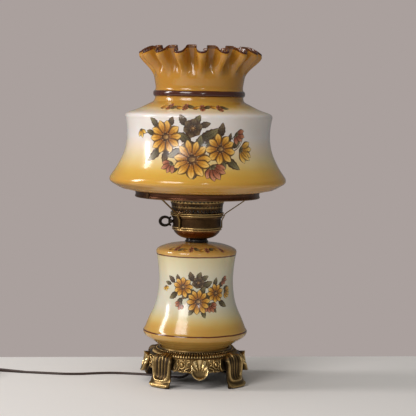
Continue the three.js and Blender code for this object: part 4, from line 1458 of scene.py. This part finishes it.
def paint_shade(material):
    rng = np.random.default_rng(7)
    paint = Paint(surface_of(SHADE_OUTER, 292, 404))
    leaves = [
        (-41.6, 376, 130, 18, 10), (-27, 378, 70, 14, 9), (-18, 380, 120, 18, 11), (-7, 380, 60, 17, 10),
        (-1, 374, 15, 16, 9), (3, 360, 28, 32, 15), (-17, 356, 145, 25, 13), (12, 367, 82, 21, 11),
        (19, 357, 75, 13, 6), (19, 321, -42, 25, 13), (-40, 332, 228, 27, 13), (-31, 330, 262, 19, 11),
        (-24, 334, 215, 21, 12), (-22, 313, 240, 14, 8), (-46, 362, 160, 15, 8), (-14, 345, 195, 22, 13),
        (-5, 349, 75, 22, 13), (2, 346, 10, 22, 12), (24, 347, 30, 16, 8), (0, 318, -30, 16, 9),
        (-36, 345, 190, 18, 10), (-8, 306, 250, 13, 7), (12, 322, 300, 15, 9), (-28, 366, 100, 18, 10),
    ]
    flowers = [
        (-10.5, 369, 14, BROWN, 6, 14), (-32, 356, 25, GOLD, 10, 5),
        (11, 341, 22, GOLD, 9, 22), (-10.5, 326.5, 28, GOLD, 11, 8),
    ]
    bells = [
        (27, 341, 19, YELLOW, 5, -28), (23.5, 362, 15, RUST, 4, -32), (-57, 366, 12, BUD, 3, -72),
        (-24.5, 322, 15, RUST, 4, 232), (3.5, 319, 20, RUST, 5, -62),
    ]
    for points in (((-6, 2), (-3, 6), (4, 8), (12, 7)), ((-4, -14), (2, -10), (8, -4), (12, 4))):
        paint.stem(24, 352, points, 1.3, LEAF)
    paint.stem(-50, 360, ((-6, 0), (2, 1), (9, -2), (16, -3)), 1.3, LEAF)
    bouquet(paint, flowers, bells, leaves, rng)
    flower_chain(paint, 397.0, -42, 20, 12, 5.0, rng)
    paint.finish("shade_flower_enamel", "shade", material)


def paint_font(material):
    rng = np.random.default_rng(11)
    paint = Paint(surface_of(FONT_OUTER, 76, 200))
    leaves = [
        (-45, 153, 140, 14, 8), (-34, 155, 105, 12, 7), (-13, 158, 110, 15, 9), (-1, 159, 70, 13, 8),
        (7, 156, 35, 13, 8), (11, 147, 25, 18, 10), (25, 150, 75, 14, 7), (36, 147, 45, 12, 7),
        (36, 119, -35, 16, 9), (5, 106, -80, 12, 7), (-41, 130, 220, 16, 9), (-30, 122, 240, 14, 8),
        (-12, 109, 245, 12, 7), (20, 113, -50, 13, 7), (46, 141, 20, 11, 6), (-52, 147, 170, 12, 6),
        (-21, 131, 215, 15, 9), (13, 131, 10, 16, 9), (-12, 136, 160, 14, 9), (4, 138, 60, 15, 9),
    ]
    flowers = [
        (-2.4, 149.5, 9.5, BROWN, 6, 14), (-26, 143, 15.5, GOLD, 9, 5),
        (25, 134.3, 14, GOLD, 9, 22), (-2.4, 123, 18, GOLD, 10, 8),
    ]
    bells = [
        (42, 137, 12.5, YELLOW, 5, -28), (37.5, 154, 9.5, RUST, 4, -32),
        (-58.5, 142.5, 8, BUD, 3, -72), (-26.5, 121, 10, RUST, 4, 232), (14, 120.5, 12.5, RUST, 5, -62),
    ]
    bouquet(paint, flowers, bells, leaves, rng)
    flower_chain(paint, 195.8, -48, 36, 11, 3.6, rng)
    paint.finish("font_flower_enamel", "lamp", material)


# ---------------------------------------------------------------- table, background and light


def make_stage():
    """A pale table top in front of a plain background, a tall window at the left, and soft lights."""
    back, near, reach, thick = 190, -1500, 1500, 30
    edge = spline([(back - 4, 0), (back - 1.2, -1.2), (back, -4), (back, -thick)], 4)
    profile = [np.array([near, 0.0])] + edge + [np.array([near, -thick])]
    verts = np.array([(x, y, z) for y, z in profile for x in (-reach, reach)])
    count = len(profile)
    following = [(k + 1) % count for k in range(count)]
    faces = [(2 * i, 2 * i + 1, 2 * j + 1, 2 * j) for i, j in enumerate(following)]
    faces += [tuple(range(0, 2 * count, 2)), tuple(reversed(range(1, 2 * count, 2)))]
    mesh = bpy.data.meshes.new("table_top")
    mesh.from_pydata((verts * MM).tolist(), [], flip_if_inside_out(verts, faces))
    tree = Tree("table_paint")
    tone = tree.mix(tree.math("MULTIPLY", tree.noise(6, 3.0), 0.2), linear(240, 238, 235),
                    linear(222, 218, 214))
    tree.set(Base_Color=tone, Roughness=0.6, Normal=tree.bump(tree.noise(150, 2.0), 0.0001, 0.4))
    tree.bsdf.inputs["Specular IOR Level"].default_value = 0.25
    mesh.materials.append(tree.material)
    table = bpy.data.objects.new("table_top", mesh)
    bpy.context.scene.collection.objects.link(table)

    def area(name, at, towards, size, power, colour, glossy=True):
        data = bpy.data.lights.new(name, "AREA")
        data.shape = "RECTANGLE"
        data.size, data.size_y = size
        data.energy = power
        data.color = colour
        obj = bpy.data.objects.new(name, data)
        obj.visible_glossy = glossy
        bpy.context.scene.collection.objects.link(obj)
        aim(obj, at, towards)

    area("window", (-2.1, 0.1, 1.15), (0, 0, 0.3), (0.4, 1.2), 22, (1.0, 0.95, 0.94))
    area("key", (-1.5, -1.7, 1.35), (0, 0, 0.25), (1.1, 1.1), 30, (1.0, 0.96, 0.95))
    area("ceiling", (-0.3, -0.3, 2.2), (0, 0, 0.2), (1.6, 1.2), 10, (1.0, 0.98, 0.94), False)
    area("lamp", (0.1, -1.7, 0.72), (0, 0, 0.25), (0.16, 0.16), 1.8, (1.0, 0.98, 0.94))
    world = bpy.data.worlds.new("world")
    world.use_nodes = True
    nodes, links = world.node_tree.nodes, world.node_tree.links
    nodes["Background"].inputs["Color"].default_value = (0.86, 0.84, 0.82, 1)
    nodes["Background"].inputs["Strength"].default_value = 0.2
    wall = nodes.new("ShaderNodeBackground")
    wall.inputs["Color"].default_value = linear(170, 160, 157)
    ray, both = nodes.new("ShaderNodeLightPath"), nodes.new("ShaderNodeMixShader")
    links.new(ray.outputs["Is Camera Ray"], both.inputs[0])
    links.new(nodes["Background"].outputs[0], both.inputs[1])
    links.new(wall.outputs[0], both.inputs[2])
    links.new(both.outputs[0], nodes["World Output"].inputs["Surface"])
    bpy.context.scene.world = world
    bpy.context.scene.view_settings.view_transform = "Standard"


# ---------------------------------------------------------------- everything

cord_vinyl = plastic("cord_brown_vinyl", linear(64, 46, 38), 0.4, 700.0, 0.00004)
cord, cord_path, cord_length = make_cord(cord_vinyl)
bright_brass = sheet_metal("bright_brass", linear(206, 170, 96), linear(140, 102, 48), (0.18, 0.36))
plug_pieces = plug(plastic("plug_brown_vinyl", linear(58, 42, 34), 0.42), bright_brass,
                   plastic("tie_black_plastic", linear(58, 54, 50), 0.42))

make_stage()
make_glass()
make_foot(cast_brass())
bronze = sheet_metal("burner_bronze", linear(104, 76, 48), linear(38, 27, 18), (0.24, 0.45), spots=0.9)
black = plastic("black_lacquer", linear(30, 26, 24), 0.3, 500.0)
collar_and_bowl(black, sheet_metal("bowl_bronze", linear(136, 88, 52), linear(60, 36, 22), (0.18, 0.34)))
drum(bronze)
pierced_crown(bronze)
ring(sheet_metal("ring_copper", linear(110, 72, 52), linear(42, 27, 21), (0.22, 0.4)))
arms(sheet_metal("arm_brass", linear(132, 104, 56), linear(58, 42, 24), (0.24, 0.4)))
key(sheet_metal("key_black", linear(52, 46, 38), linear(20, 16, 13), (0.25, 0.4)))
chimney(clear_glass())
steel = sheet_metal("zinc_steel", linear(176, 174, 168), linear(104, 100, 94), (0.28, 0.45))
bulb(frosted_glass(), steel)
carried(bright_brass, steel, plastic("phenolic", linear(40, 28, 22), 0.4),
        plastic("fibre_card", linear(142, 124, 92), 0.8, 300.0, 0.0001), cord_vinyl)
enamel = enamel_material()
paint_shade(enamel)
paint_font(enamel)
